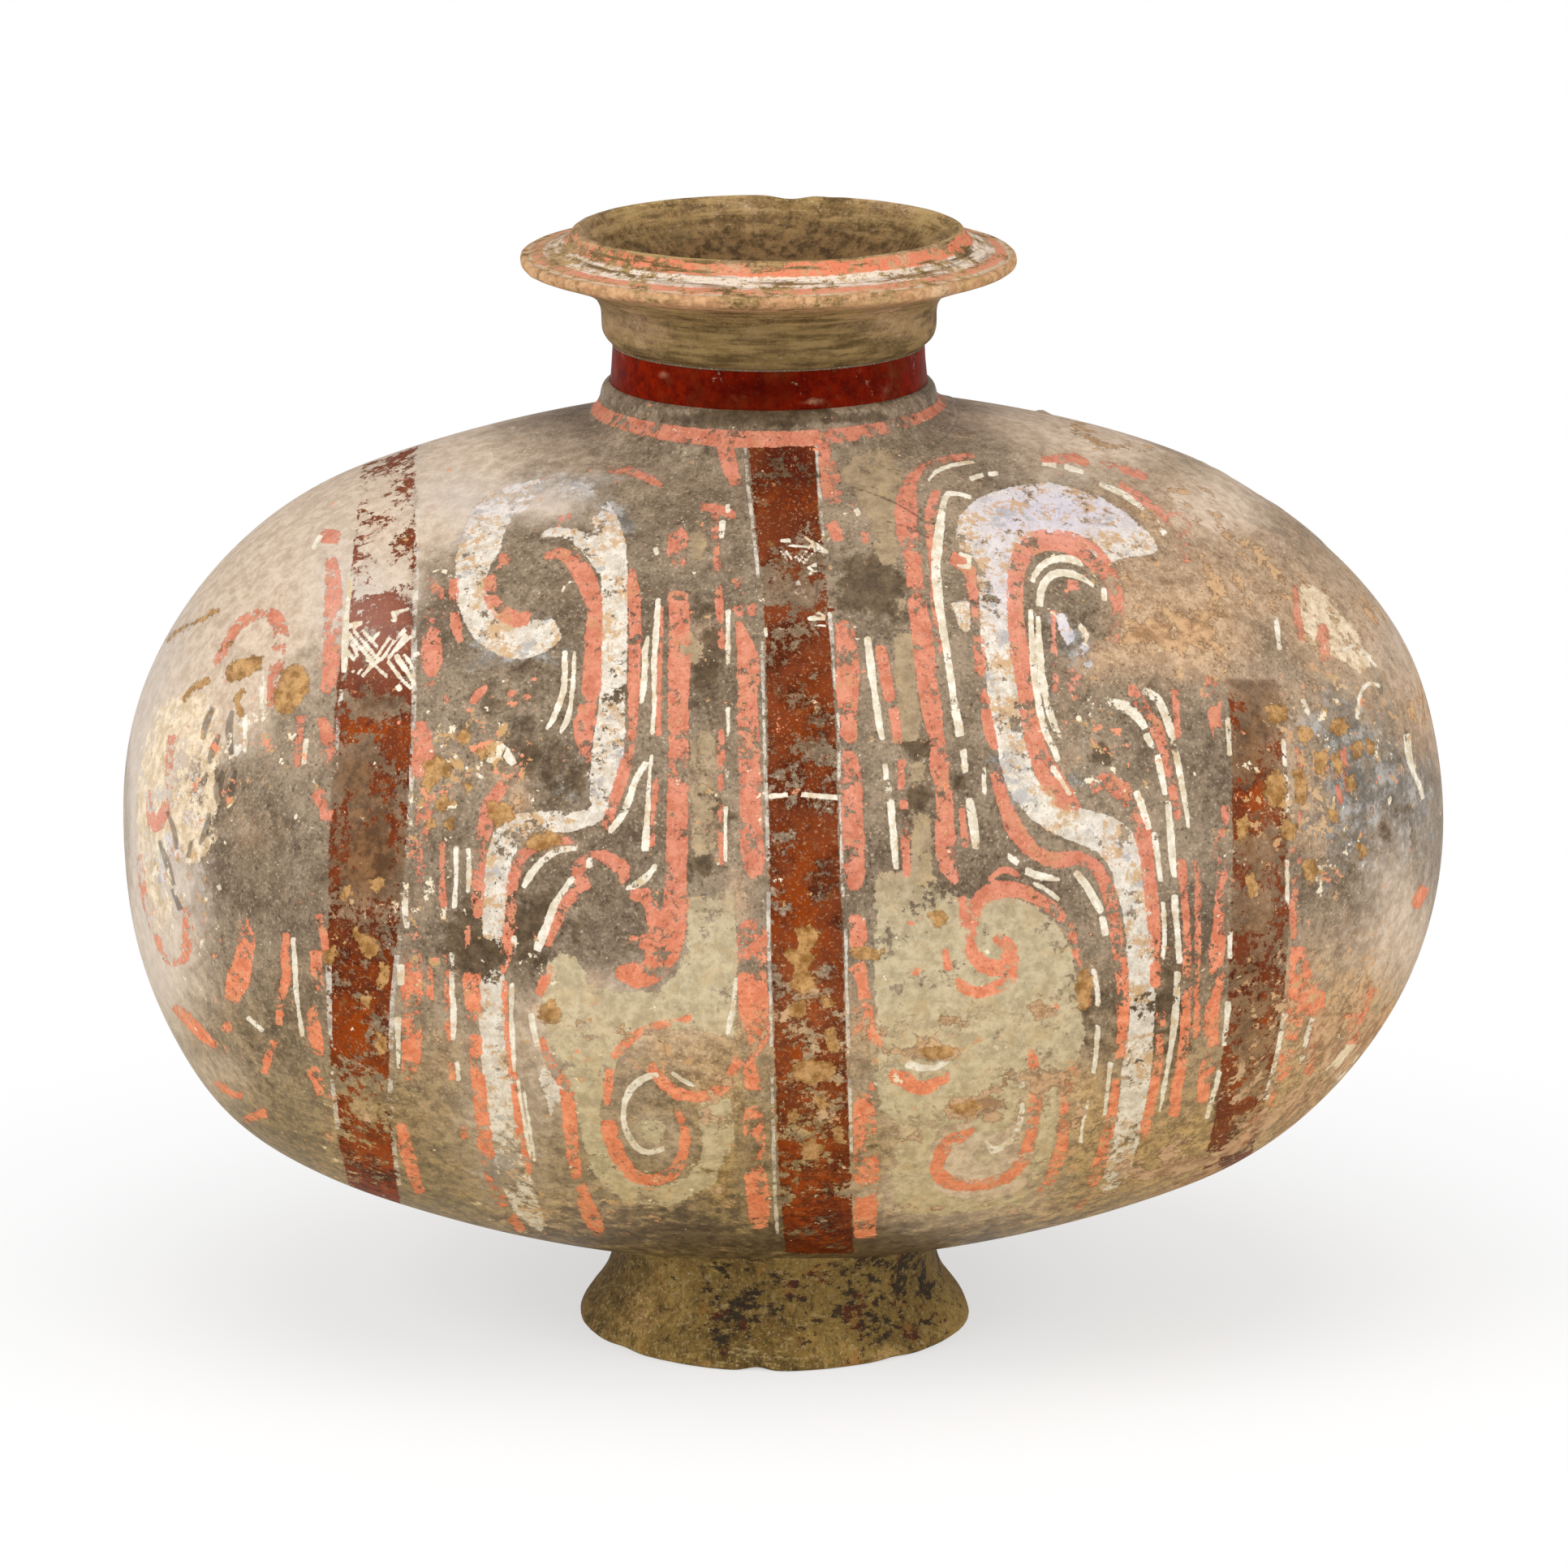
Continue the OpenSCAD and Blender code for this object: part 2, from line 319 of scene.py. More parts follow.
# %% Coil laid on the body
shoulder, coil_floor, tucked, tuck_depth = 42.7, 0.2325, 43, 3
side_reach, front_reach, hollow = 4.4, 9.6, 3.6
points = points_of(coil)
spot = points - np.array(neck_centre)
radius = np.hypot(spot[:, 0], spot[:, 1]) / MM
turned = np.arctan2(spot[:, 1], spot[:, 0])
share = np.clip((radius - shoulder) / coil_run, 0, 1)
on_slope = (radius > shoulder) & (spot[:, 2] > coil_floor)
new_radius = shoulder + share * (side_reach + front_reach * np.abs(np.sin(turned)))
x, y = neck_x + new_radius * np.cos(turned), new_radius * np.sin(turned)
sink = 1 - (1 - share)**hollow
top = body_height(x, y)
top = top + hand_made(np.column_stack((x, y, top)) * MM)
slope = (1 - sink) * coil_top + sink * (top + 0.12 - 0.35 * np.clip(share * 6 - 5, 0, 1))
points[on_slope] = np.column_stack((x, y, slope))[on_slope] * MM
low = (radius > 41) & (spot[:, 2] <= coil_floor)
x, y = neck_x + tucked * np.cos(turned), tucked * np.sin(turned)
points[low] = np.column_stack((x, y, body_height(x, y) - tuck_depth))[low] * MM
move_points(coil, points)
print("neck and coil", len(neck.data.polygons), len(coil.data.polygons), "faces")

# %% [markdown]
# The mouth has a short moulding, a hollow under the flange, a slightly dished flange top and
# a raised lip. The foot flares like a skirt and is a plain ring.

# %% Mouth rim and foot ring
mouth_curve = [(39.8, 257.9), (40.6, 258.6), (41.6, 259.6), (42.3, 260.8), (42.55, 263.0),
               (42.5, 265.6), (42.7, 267.6), (43.9, 269.6), (46.5, 271.6), (51.0, 273.7),
               (56.5, 275.6), (60.6, 276.9), (62.2, 277.4), (62.85, 278.2), (62.85, 279.5),
               (62.4, 280.3), (61.6, 280.5), (60.9, 280.2), (60.2, 280.6), (56.5, 281.5),
               (52.6, 282.8), (50.6, 284.2), (49.9, 285.6), (49.2, 286.7), (48.0, 287.0),
               (46.9, 286.5), (46.2, 285.2), (44.6, 282.0), (41.0, 277.0), (36.6, 271.6),
               (33.2, 268.9)]
mouth_closing = [(33.4, 268.9), (37.6, 268.9), (37.7, 268.8), (37.7, 258.0), (37.8, 257.9),
                 (39.7, 257.9), (39.8, 257.9)]
mouth = ring("mouth_rim_soiled", neck_centre, mouth_curve, 1.6, mouth_closing, 96)

foot_centre = Vector((-1.4 * MM, 0, 0))
foot_curve = [(47.6, 30.6), (45.0, 27.6), (43.2, 24.6), (42.3, 21.0), (42.2, 17.2), (43.5, 12.8),
              (45.8, 9.2), (48.3, 5.9), (50.2, 2.9), (50.8, 1.3), (50.4, 0.25), (49.4, 0.0),
              (45.2, 0.0), (44.2, 0.5), (42.0, 4.0), (38.2, 11.0), (34.6, 18.0), (34.2, 25.0)]
foot = ring("foot_ring_worn", foot_centre, foot_curve, 1.6,
            [(36, 28.5), (46.5, 31.5), (47.6, 30.6)], 96)
print("mouth and foot", len(mouth.data.polygons), len(foot.data.polygons), "faces")

# %% [markdown]
# Handling and burial left their marks: the lip has lost a flake at the back, the flange edge
# is nibbled and the foot has a small notch in front. Each chip pulls the surface in round
# one point.

# %% Small unevenness and chips
chips = ((mouth, (3, 49, 287), 7, 1.3), (mouth, (14, 48.6, 287), 4, 0.8),
         (mouth, (-64, -16, 280), 5, 0.9), (mouth, (38, -49, 279), 4, 0.7),
         (mouth, (-22, -57, 280), 3.5, 0.6), (mouth, (20, -46, 287), 3, 0.5),
         (foot, (-6, -50.5, 0.5), 5, 1.4), (foot, (30, -41, 1), 6, 0.7),
         (foot, (-40, -31, 2), 7, 0.8), (neck, (-27, -29.5, 255), 2.6, 0.9))
uneven = ((neck, neck_centre, 0.18, 3), (mouth, neck_centre, 0.34, 4), (foot, foot_centre, 0.5, 5))
for piece, centre, amount, seed in uneven:
    points = points_of(piece)
    out = points - np.array(centre)
    out[:, 2] = 0
    far = np.linalg.norm(out, axis=1)
    push = amount * grain(points, 16, seed) + 0.45 * amount * grain(points, 5, seed + 9)
    outer = np.clip((far / MM - 38) / 2, 0, 1)
    for chipped, place, size, depth in chips:
        if chipped is piece:
            away = np.linalg.norm(points / MM - np.array(place), axis=1) / size
            bite = depth * np.exp(-2 * away**2)
            push -= bite
            points[:, 2] += np.where(points[:, 2] < 0.1, 0.5, -0.7) * bite * MM
    points += out / far[:, None] * (push * outer * MM)[:, None]
    points[:, 2] = np.maximum(points[:, 2], 0)
    move_points(piece, points)

# %% [markdown]
# ## The painter's lines
# The cloud scrolls are painted freehand, so they are written down as brush strokes: a
# pigment, a brush width, and the places the brush went through, in photograph pixels. A
# place may carry its own width after a slash, and semicolons part the strokes. A filled
# shape is written by its corners. Each point of the body then gets its distance in mm to
# the nearest edge of each pigment.

# %% Brush helpers
strokes = []


def brush(pigment, width, paths):
    for path in paths.split(";"):
        places = []
        for place in path.split():
            spot, _, own = place.partition("/")
            x, y = spot.split(",")
            places.append((float(x), float(y), float(own or width)))
        if len(places) == 1:
            places.append((places[0][0], places[0][1] + 2, places[0][2]))
        strokes.append((pigment, "brush", np.array(places)))


def fill(pigment, paths):
    for path in paths.split(";"):
        corners = [[float(v) for v in place.split(",")] for place in path.split()]
        strokes.append((pigment, "fill", np.array(corners)))


# %% Bands round the jar
fill("maroon", """
922,545 928,620 936,690 942,760 945,860 946,1000 950,1150 955,1300 960,1450 968,1545 1052,1545
1048,1450 1043,1300 1038,1150 1034,1050 1030,900 1024,800 1016,690 1008,620 1004,545""")
fill("maroon", """
446,560 440,640 432,710 422,790 412,880 408,960 405,1060 404,1160 404,1240 407,1320 416,1400
432,1470 450,1520 500,1520 490,1460 482,1390 479,1310 482,1230 490,1150 500,1060 506,960 509,870
510,780 513,700 512,640 512,560""")
fill("maroon", """
1511,836 1517,900 1519,1000 1518,1100 1514,1200 1506,1300 1496,1380 1480,1450 1540,1430 1556,1370
1570,1310 1582,1230 1588,1140 1588,1000 1584,900 1576,836""")
brush("trim", 4.2, """
918,548 922,600 929,660 935,720; 939,790 941,880 943,950 945,1000 946,1060; 947,1100 947,1160
949,1220 950,1290; 951,1310 953,1400 955,1470 958,1520; 1006,548 1009,600 1014,660; 1022,755
1026,800 1029,850; 1033,880 1034,930 1034,970; 1036,980 1037,1060 1039,1110; 1042,1140 1043,1210
1046,1300; 1047,1330 1049,1420""")
brush("line", 7, "432,705 430,730 427,760 425,790/9 424,828")
brush("trim", 6, """
421,850 416,900 412,960; 405,1190 406,1240 407,1290; 409,1330 416,1390; 513,560 513,640 513,700
510,780 510,860 507,960 501,1060; 492,1150 484,1230 481,1310 483,1390 492,1460""")
brush("line", 6, """
1513,885 1515,930; 1516,1148 1515,1180; 1513,1235/8 1511,1260 1508,1288; 1503,1320 1498,1340
1490,1365 1487,1378; 1581,910 1584,950 1586,1000; 1583,1250/8 1577,1280 1571,1310 1563,1340
1559,1355; 1572,760 1577,800; 1586,1060 1586,1120""")
brush("line", 3.2, """
962,667/5 974,666/5; 962,679 970,690; 968,678 976,689; 984,691 994,679 1002,669; 990,693 1000,683
1009,675; 979,688 986,682; 996,700/4 1009,694; 997,707 1012,701; 972,672 996,674; 1000,670/8
1014,678/7 1020,680/5; 990,660 1000,668; 996,762/5 1016,762/4; 1004,770/3 1017,771/3; 943,773/5
944,785/4; 960,774/4 967,774/3; 1000,752 1012,756 1017,761; 948,981/7 985,979/6 1032,983/7""")
brush("trim", 8, "972,722/6 980,718/10 983,727/11 989,735/9 995,745/4")
brush("line", 4.4, """
425,773/7 436,770/6 446,768/5; 428,779 443,797 452,807 462,817/5; 436,777 448,791 458,803 468,815;
446,776/5 456,787/5 466,798/4; 428,787 436,798 441,809; 426,799 432,808 437,813; 466,807 474,795
482,783 488,777; 470,813 478,801 488,787 500,775; 478,813 486,801 494,791 500,781; 482,807 492,797
502,787 508,784; 460,787 468,779; 446,834/5 454,825/5 460,818/6 468,812; 450,812 460,818 468,826/5
477,833/6; 478,815/5 486,826/5 496,838/5 508,849/4; 488,808/8 496,820/7 506,834/6 512,846/5; 498,806
506,818 512,835; 482,756/5 492,754 504,750/4; 484,762/8 488,764/8; 490,845/7 493,850/6; 435,826/4;
441,830/4 446,824/4; 510,807/5 516,806/5""")
brush("maroon", 6, "1000,648/9 1008,660/6; 1016,752/6 1028,751/5")

# %% Left panel, scroll body
brush("white", 34, """
684,775/24 662,785/40 634,787/46 606,776/42 587,752/36 580,722/34 583,695/38 592,668/46 604,640/44
622,620/34 652,607/26 690,603/24 720,612/26 742,634/28 753,668/30 757,712/30 757,760/30 756,820/30
754,862/29 752,900/34 747,940/35 742,970/28 740,992/18 741,1004/5""")
brush("white", 14, "668,660/4 683,656/7 700,657/11 716,664/16 730,677/20 744,696/22")
brush("white", 30, """
738,1006/12 705,1012/22 668,1014/26 640,1020/30 620,1040/30 613,1075/29 609,1112/28 608,1150/22
610,1172/8; 611,1182/10 612,1192/8; 606,1198/26 607,1220/31 608,1250/33 611,1300/32 615,1345/33
622,1385/35 628,1425/36 638,1460/34 650,1488/26 668,1512/9""")
brush("coral", 18, """
617,688/12 627,690/10; 605,710/12 603,730/14 611,748/18 626,759/19 645,765/14 652,756/7; 559,715/9
559,745/10 562,772/11 567,790/8; 668,686/6 690,681/12 705,690/20 718,705/24 727,725/22 733,750/17
732,780/20 730,815/22 729,845/22 727,862/18; 724,872/20 722,885/24 718,905/22 722,926/12 725,938/7;
700,948/5 720,946/6; 778,704/9 781,730/14 782,770/14 782,815/15 781,855/13 779,895/11 777,925/9;
774,934/12 766,958/13 758,985/12 750,1006/12 745,1022/11""")
brush("line", 8, """
799,785/5 795,800 794,835 792,852 790,867/5; 811,737/6 809,770 806,815/7 806,860/6 804,905/5;
803,930/4 800,962/5 798,1000/7 796,1030/9 795,1048/8; 796,940 785,957 778,976 771,996/9 762,1012/9
751,1024; 696,803 695,845 688,870/8 678,892/6 673,899/4; 708,803/5 706,840/6 703,870/6 697,891/7
690,903/4""")
brush("coral", 6, """
814,748 813,800 812,850 811,905; 808,960 805,1000/7 803,1042/7; 880,632/9 882,662/8 884,700/8
886,740/8 889,797/7; 889,900/7 888,940/7 888,972/6; 889,994/8 889,1040/9 890,1064/7; 866,624/9
888,628/11 906,636/8""")
brush("line", 6, """
890,642/8 889,662/7; 896,622 897,632; 897,752 897,818; 897,872/5 897,908/5; 896,945/5 896,960/5;
894,994/5 894,1061/5; 907,1204/5 904,1236/5 900,1256/6 896,1275/5""")
brush("coral", 24, """
836,660/20 834,680/24 836,699/14; 836,724/22 837,780/25 836,850/25 836,920/24 835,980/24 834,1030/25
833,1080/26 832,1112/30 828,1142/34 820,1170/34 806,1193/30 786,1208/18 762,1202/7; 800,1112/12
806,1130/18 798,1140/8; 776,1158/8 800,1162/16; 760,1196/6 785,1190/10; 778,1102/14 800,1104/16;
893,552/18 898,572/20 906,594/14; 908,712/14 916,728/10; 908,748/9 912,758/8; 926,746/9 928,757/8;
910,768/8 917,790/18 922,815/26 922,836/28; 922,846/24 921,880/25 923,920/26 924,960/26 925,1000/26
925,1030/28 929,1058/26 931,1078/16; 926,1136/22 927,1158/36 926,1186/34; 926,1202/36 927,1220/36
930,1250/34 934,1280/24 926,1297/8; 922,1312/14 928,1340/18; 926,1366/18 930,1395/26 930,1426/20;
930,1442/24 934,1476/28 936,1510/20; 752,578/5 775,580/9 800,590/8 815,598/4""")

# %% Left panel, lower half
brush("coral", 15, """
627,955/7 618,970/14 608,986/18 600,1006/18 596,1030/16 591,1060/14 589,1090/14 588,1116/13
590,1131/8; 582,1201/20 582,1230/20 585,1255/14; 586,1277/14 587,1310/16 590,1340/16 594,1380/16
598,1410/18 604,1440/16 612,1465/14 621,1484/13; 630,1500/10 643,1516/9; 712,1036/7 690,1036/9
660,1044/10 641,1058/12 633,1080/13 629,1115/13 626,1150/13 623,1180/12 620,1199/6; 622,1210/5
623,1250/5 627,1290/6 632,1325/9 637,1360/9 643,1400/10 650,1430/9 653,1446/5; 725,1091/7
706,1102/14 693,1118/14 684,1138/13 674,1164/10; 716,1088/14 715,1069/18 727,1055/13 746,1054/12
758,1065/18 771,1073/15 765,1086/8; 678,1190/7 672,1205/12 664,1224/10; 668,1280/6 674,1300/8
684,1318/9 693,1332/13 700,1348/17 701,1375/16 704,1402/16 708,1430/15 712,1450/12; 716,1462/12
722,1485/18 732,1505/19 739,1519/12; 852,1253/6 835,1259/9 812,1263/9 792,1270/9 776,1281/10
764,1293/10 755,1302/7; 751,1318/8 749,1345/10 748,1360/7; 749,1384/18 752,1398/21 760,1420/18
770,1438/17 785,1450/14 805,1454/13 825,1448/14 839,1430/13 844,1405/12 841,1385/10 833,1366/6;
800,1310/8 813,1330/14 834,1346/14 860,1351/12 885,1344/14 901,1326/14 910,1302/8""")
brush("line", 8, """
711,1045/7 690,1047/7 675,1055 661,1068 651,1082/9 645,1094/6; 633,1155/7 632,1178/6; 631,1212/6
630,1250/6 632,1290/6 634,1320/5; 638,1330/4 643,1365/4 648,1395/5 654,1425/4; 646,1345/3 652,1385/4
659,1430/4; 706,1082/6 694,1098 683,1115/9 676,1135/10 668,1155/12 662,1171/10; 808,1066/5
798,1079/10 785,1089/10 771,1095/5; 654,1249/7 658,1270 662,1289/6; 726,1058/7 727,1068/9;
828,1322/5 845,1333/6 857,1339/4; 818,1415/6 800,1420/7 785,1414/7 774,1399/7 768,1378/6 770,1358/8
780,1339/10 795,1328/8 810,1324/6""")
fill("white", """
668,1310 677,1322 687,1338 699,1349 694,1358 685,1351 682,1362 679,1376 676,1358 671,1342 665,1330""")
brush("line", 6, """
562,1043 562,1080 560,1118; 577,1046 578,1080 576,1100; 557,1175 557,1220 559,1250/8 558,1281;
563,1308 565,1331; 500,1096 499,1120/8 502,1143; 494,1190/9 494,1213/9; 490,1254/8 491,1290
491,1316/4""")
brush("coral", 7, """
545,1035 545,1080 546,1118; 576,1142/6 577,1184/6; 550,1178 552,1240/8 555,1282; 556,1310 558,1330;
530,1190 531,1232; 570,1388 573,1402""")
brush("coral", 20, """
526,716/8 536,730/20 534,760/24 536,778/14; 533,786/22 532,810/26 530,831/16; 514,900/14 522,925/24
516,958/18; 510,1040/14 513,1075/22 510,1115/20 507,1150/16; 508,1172/22 508,1200/26 506,1236/22;
507,1252/20 508,1280/25 506,1308/22 502,1328/10; 494,1386/10 500,1415/16 508,1442/15 518,1468/10;
519,892/10 528,908/12; 520,905/16 524,935/22 520,965/20; 528,985/14 522,1010/18 520,1034/14""")
fill("pale", """
848,655 862,650 872,662 868,690 856,694 850,680; 838,770 860,786 872,800 862,815 850,822 842,840
836,812; 850,905 866,898 884,908 880,930 886,944 868,952 850,944; 852,960 880,958 884,985 878,1010
884,1040 862,1056 850,1040 856,1000 848,980""")
brush("coral", 8, """
582,866/6 592,852/10 600,846/6; 626,856/6 634,853/5; 646,861/6 654,858/5; 523,847/8 533,843/6;
518,890/10 526,904/10; 548,858/4 552,864/4; 566,905/5 572,912/4; 690,640/5 702,636/8; 838,652/6
846,664/8""")
brush("line", 6, """
602,938/7 608,926/6; 612,915/9 624,928/12 632,941/9; 574,946/4 578,950/3; 588,954/5 594,958/4;
560,930/4 563,936/4; 690,706/4; 696,722/4 692,730/3; 702,716/3; 807,675/8 810,682/5; 640,928/4""")
brush("pale", 18, "790,1385/18 806,1398/26 812,1384/16")
fill("pale", """
846,1106 905,1098 909,1200 905,1280 850,1268 800,1268 766,1298 748,1334 712,1316 690,1306 676,1286
668,1240 674,1186 690,1174 712,1180 726,1212 762,1222 812,1222 838,1196 848,1150""")
fill("pale", """
690,1318 738,1308 748,1340 738,1372 748,1408 776,1452 812,1462 846,1452 866,1420 860,1360 900,1350
905,1400 880,1460 830,1486 770,1484 730,1446 716,1400 706,1350""")

# %% Right panel, scroll body
fill("white", """
1178,657 1183,637 1198,621 1222,608 1252,600 1286,596 1320,602 1352,613 1380,628 1403,647 1420,664
1428,677 1412,683 1388,686 1368,692 1352,686 1335,668 1310,656 1285,655 1262,662 1250,675 1243,697
1240,725 1207,725 1204,712 1210,697 1196,683 1184,674""")
brush("white", 34, """
1225,712/33 1225,750/33 1228,800/33 1235,840/36 1242,885/38 1250,925/39 1260,958/41 1276,985/39
1305,1008/37 1340,1020/42 1370,1034/45 1388,1060/39 1394,1090/37 1400,1122/32 1405,1160/31
1406,1210/30 1407,1250/28 1403,1300/32 1397,1345/32 1391,1382/30 1384,1412/31 1376,1440/27
1362,1466/14""")
brush("coral", 22, """
1370,796/9 1375,775/10 1379,752/12 1375,733/16 1368,712/20 1355,695/26 1338,680/26 1315,668/26
1290,665/26 1268,672/27 1257,689/23 1252,712/20 1251,745/18 1253,775/20 1257,805/22 1262,832/22
1266,860/22 1271,890/24 1277,920/24 1287,945/26 1300,966/28 1311,982/27 1322,994/14 1331,990/7;
1346,972/14 1362,962/18 1378,971/22 1392,985/22 1402,1001/22 1408,1026/20 1413,1056/17 1418,1100/16
1422,1140/15 1423,1180/14 1424,1216/9; 1430,1246/11 1430,1263/10; 1428,1276/8 1428,1302/9
1424,1331/10 1418,1360/10 1412,1386/12 1409,1402/9; 1174,688/14 1186,693/17 1195,703/13 1199,735/10
1203,768/6; 1206,788/12 1208,832/12; 1210,850/10 1213,862/10; 1214,874/12 1220,905/14 1226,924/9;
1225,941/9 1230,964/14 1236,986/16 1245,1010/20 1256,1030/20 1277,1052/18 1300,1060/18 1325,1057/16
1345,1064/14 1358,1082/14 1368,1107/16 1374,1142/15 1380,1182/14 1384,1222/14 1384,1262/13
1380,1302/11; 1376,1330/9 1370,1370/12 1362,1410/14 1353,1440/15 1343,1465/13 1326,1487/8;
1316,721/13 1328,722/13; 1316,824/8 1328,840/14 1344,850/10; 1330,868/12 1346,866/8; 1298,754/6
1299,800/6 1303,850/7; 1318,838/7 1326,862/9; 1340,862/9 1350,878/9""")
brush("line", 8, """
1272,716/7 1278,703 1290,692 1308,688/9 1325,691 1335,697/4; 1281,746/9 1283,728/10 1290,714/10
1303,706/9 1320,707/9 1335,713 1348,723/4; 1270,752/6 1272,800/8 1276,840/9 1282,880/9 1290,906/9
1298,922/7; 1279,760/6 1281,800/8 1285,840/9 1292,872/9 1300,896/9 1308,909/5; 1296,915/9
1304,937/7; 1296,945/6 1308,962/6 1319,979/4; 1360,725/7 1361,739/7; 1330,770/5 1338,782/8
1336,794/4; 1182,682/5 1195,686/6 1194,698/6 1180,697/4""")
brush("line", 12, """
1368,866 1386,870/14 1401,882 1411,897/9; 1412,905/9 1421,921/7; 1426,930/8 1431,955/9 1436,979/5;
1439,988/7 1442,1020/9 1445,1062/9 1447,1080/6; 1447,1104/9 1449,1130/8 1452,1160/8 1453,1186/7;
1451,1198/9 1449,1240/9 1446,1270/8 1440,1308/6 1434,1341/6 1429,1371/4; 1409,851/9 1425,860/11
1436,880/10 1443,905/9 1450,935/8 1457,970/7 1462,1000/6 1464,1019/4; 1400,975/9 1408,996/9
1416,1021/7; 1422,1026/8 1427,1060/8 1430,1086/6; 1433,1112/5 1435,1150/6 1433,1181/4""")
brush("coral", 13, """
1392,847/12 1405,866/13 1418,886/15 1430,911/15 1437,941/11 1445,976/9 1452,1011/9; 1448,852/7
1451,908/7; 1455,1060/10 1460,1110/9 1462,1152/9 1462,1202/10 1461,1250/11 1457,1300/12 1450,1341/14
1446,1374/12; 1475,1062/7 1476,1150/6 1475,1230/6 1473,1278/6""")

# %% Right panel, stripes beside the bands
brush("coral", 26, """
1015,546/12 1019,572/18 1024,596/24 1028,617/18; 1050,620/10 1054,632/8; 1024,645/14 1034,664/14;
1066,658/8 1066,668/6; 1040,767/18 1043,800/26 1044,842/28 1045,868/24; 1046,883/22 1046,908/20;
1046,925/14 1048,950/24 1050,990/26 1051,1040/27 1053,1080/24 1054,1095/10; 1056,1130/16
1058,1150/22 1057,1170/14; 1056,1191/22 1062,1208/14 1066,1236/16; 1062,1248/28 1064,1270/30;
1078,1275/16 1080,1293/14; 1064,1352/22 1065,1380/28 1066,1408/26; 1066,1416/28 1068,1450/30
1068,1486/26; 1066,1494/28 1066,1522/26""")
brush("line", 8, """
1069,785 1073,820/9 1077,850 1082,885 1087,911/6; 1090,942/6 1095,976; 1097,986/9 1101,1030/10
1104,1070/7; 1055,627/6 1058,634/5""")
brush("coral", 12, """
1085,796/13 1091,830/14 1097,862/12; 1101,872/10 1106,914/8; 1111,937/10 1109,972/8; 1113,988/8
1115,1030/10 1117,1078/7""")
brush("pale", 27, """
1112,784/24 1114,830/28 1116,846/22; 1117,856/24 1120,885/28 1122,908/24; 1129,940/22 1130,960/20;
1134,1002/22 1136,1050/26 1135,1080/24; 1110,740/12 1112,756/10""")
fill("pale", """
1036,585 1050,562 1075,555 1110,553 1120,570 1108,600 1104,640 1108,690 1090,698 1078,680 1072,640
1046,598""")
brush("coral", 24, """
1200,561/5 1165,566/7 1138,576/10 1123,590/14 1117,615/24 1117,645/26 1120,672/24; 1124,684/20
1128,720/20 1131,750/22 1136,778/24 1140,815/24 1145,855/24 1150,885/22 1154,911/18; 1156,922/18
1158,945/24 1160,964/17; 1163,972/18 1164,1000/22 1165,1050/24 1169,1070/18 1179,1088/8; 1153,605/9
1147,630/12 1146,660/9 1148,692/6 1151,740/6 1156,776/8 1161,802/7; 1185,998/6 1190,1042/8""")
brush("line", 10, """
1197,613/4 1185,609/5 1168,609/7 1162,624/8 1158,648/11 1155,672/12 1153,702/12 1156,735/11
1160,762/10 1166,798/9 1171,832/9 1174,856/8 1178,878/11 1183,906/11; 1187,924/9 1190,952/8;
1194,984/9 1199,1012/12 1203,1045/10; 1144,592/4 1152,582/5 1170,574/5 1200,569/3; 1196,590/7
1211,585/6; 1218,584/6 1229,583/5; 1284,572/5 1301,573/6; 1313,575/6 1335,582/5; 1355,596/6
1380,606/8 1400,620/7 1413,631/5; 1424,642/6 1435,658/8; 1212,945/5 1213,978/5""")
fill("white", """
1173,744 1193,742 1195,774 1186,778 1180,760; 578,690 572,660 582,630 604,608 634,598 652,606
648,626 628,640 614,664 610,690""")
brush("white", 10, """
1306,758/8 1312,774/13 1320,790/9; 1330,808/10 1337,796/8; 1342,816/5 1334,826/8""")
brush("coral", 9, """
1284,568/8 1320,564/10 1340,572/6; 1356,572/6 1385,578/8 1412,588/8; 1380,597/8 1400,610/10
1420,625/12 1440,637/18 1455,646/24 1456,664/14; 1458,672/10 1463,691/8""")

# %% Right panel, lower half
fill("pale", """
1078,1078 1130,1070 1158,1092 1180,1106 1206,1110 1240,1104 1275,1113 1300,1136 1318,1165 1326,1195
1332,1232 1338,1280 1322,1316 1296,1330 1262,1322 1262,1360 1240,1392 1215,1398 1190,1382 1150,1392
1112,1390 1084,1370 1078,1330 1070,1290 1080,1250 1076,1180""")
brush("coral", 16, """
1199,1152/9 1200,1130/12 1205,1112/16 1220,1099/20 1240,1095/20 1262,1099/18 1282,1110/16
1300,1122/15 1311,1134/8; 1319,1138/8 1324,1168/8 1334,1190/6; 1185,1106/8 1188,1130/10 1190,1154/7;
1226,1158/13 1241,1162/13 1247,1176/15 1239,1190/18 1221,1192/20 1205,1184/18 1196,1169/14
1194,1155/9; 1178,1211/12 1200,1222/14 1226,1218/14 1245,1204/15 1250,1190/10; 1164,1170/7
1168,1194/10; 1121,1132/8 1122,1140/12; 1128,1192/8 1129,1200/12; 1299,1238/7 1301,1243/7;
1220,1083/7 1228,1075/7 1243,1072/7 1256,1080/6; 1338,1196/8 1340,1238/8; 1096,1324/15 1114,1330/18
1131,1340/18 1150,1336/14 1171,1325/7; 1071,1335/8 1080,1344/8; 1271,1296/10 1276,1325/11
1276,1352/12 1274,1378/12 1270,1402/14 1263,1422/14 1252,1441/14 1234,1453/14 1210,1460/12
1182,1460/14 1162,1452/17 1154,1438/15 1160,1420/16 1170,1408/16 1184,1400/11 1199,1392/5;
1323,1318/13 1314,1346/10 1311,1380/12 1308,1411/14 1301,1436/14 1292,1457/12 1279,1473/7""")
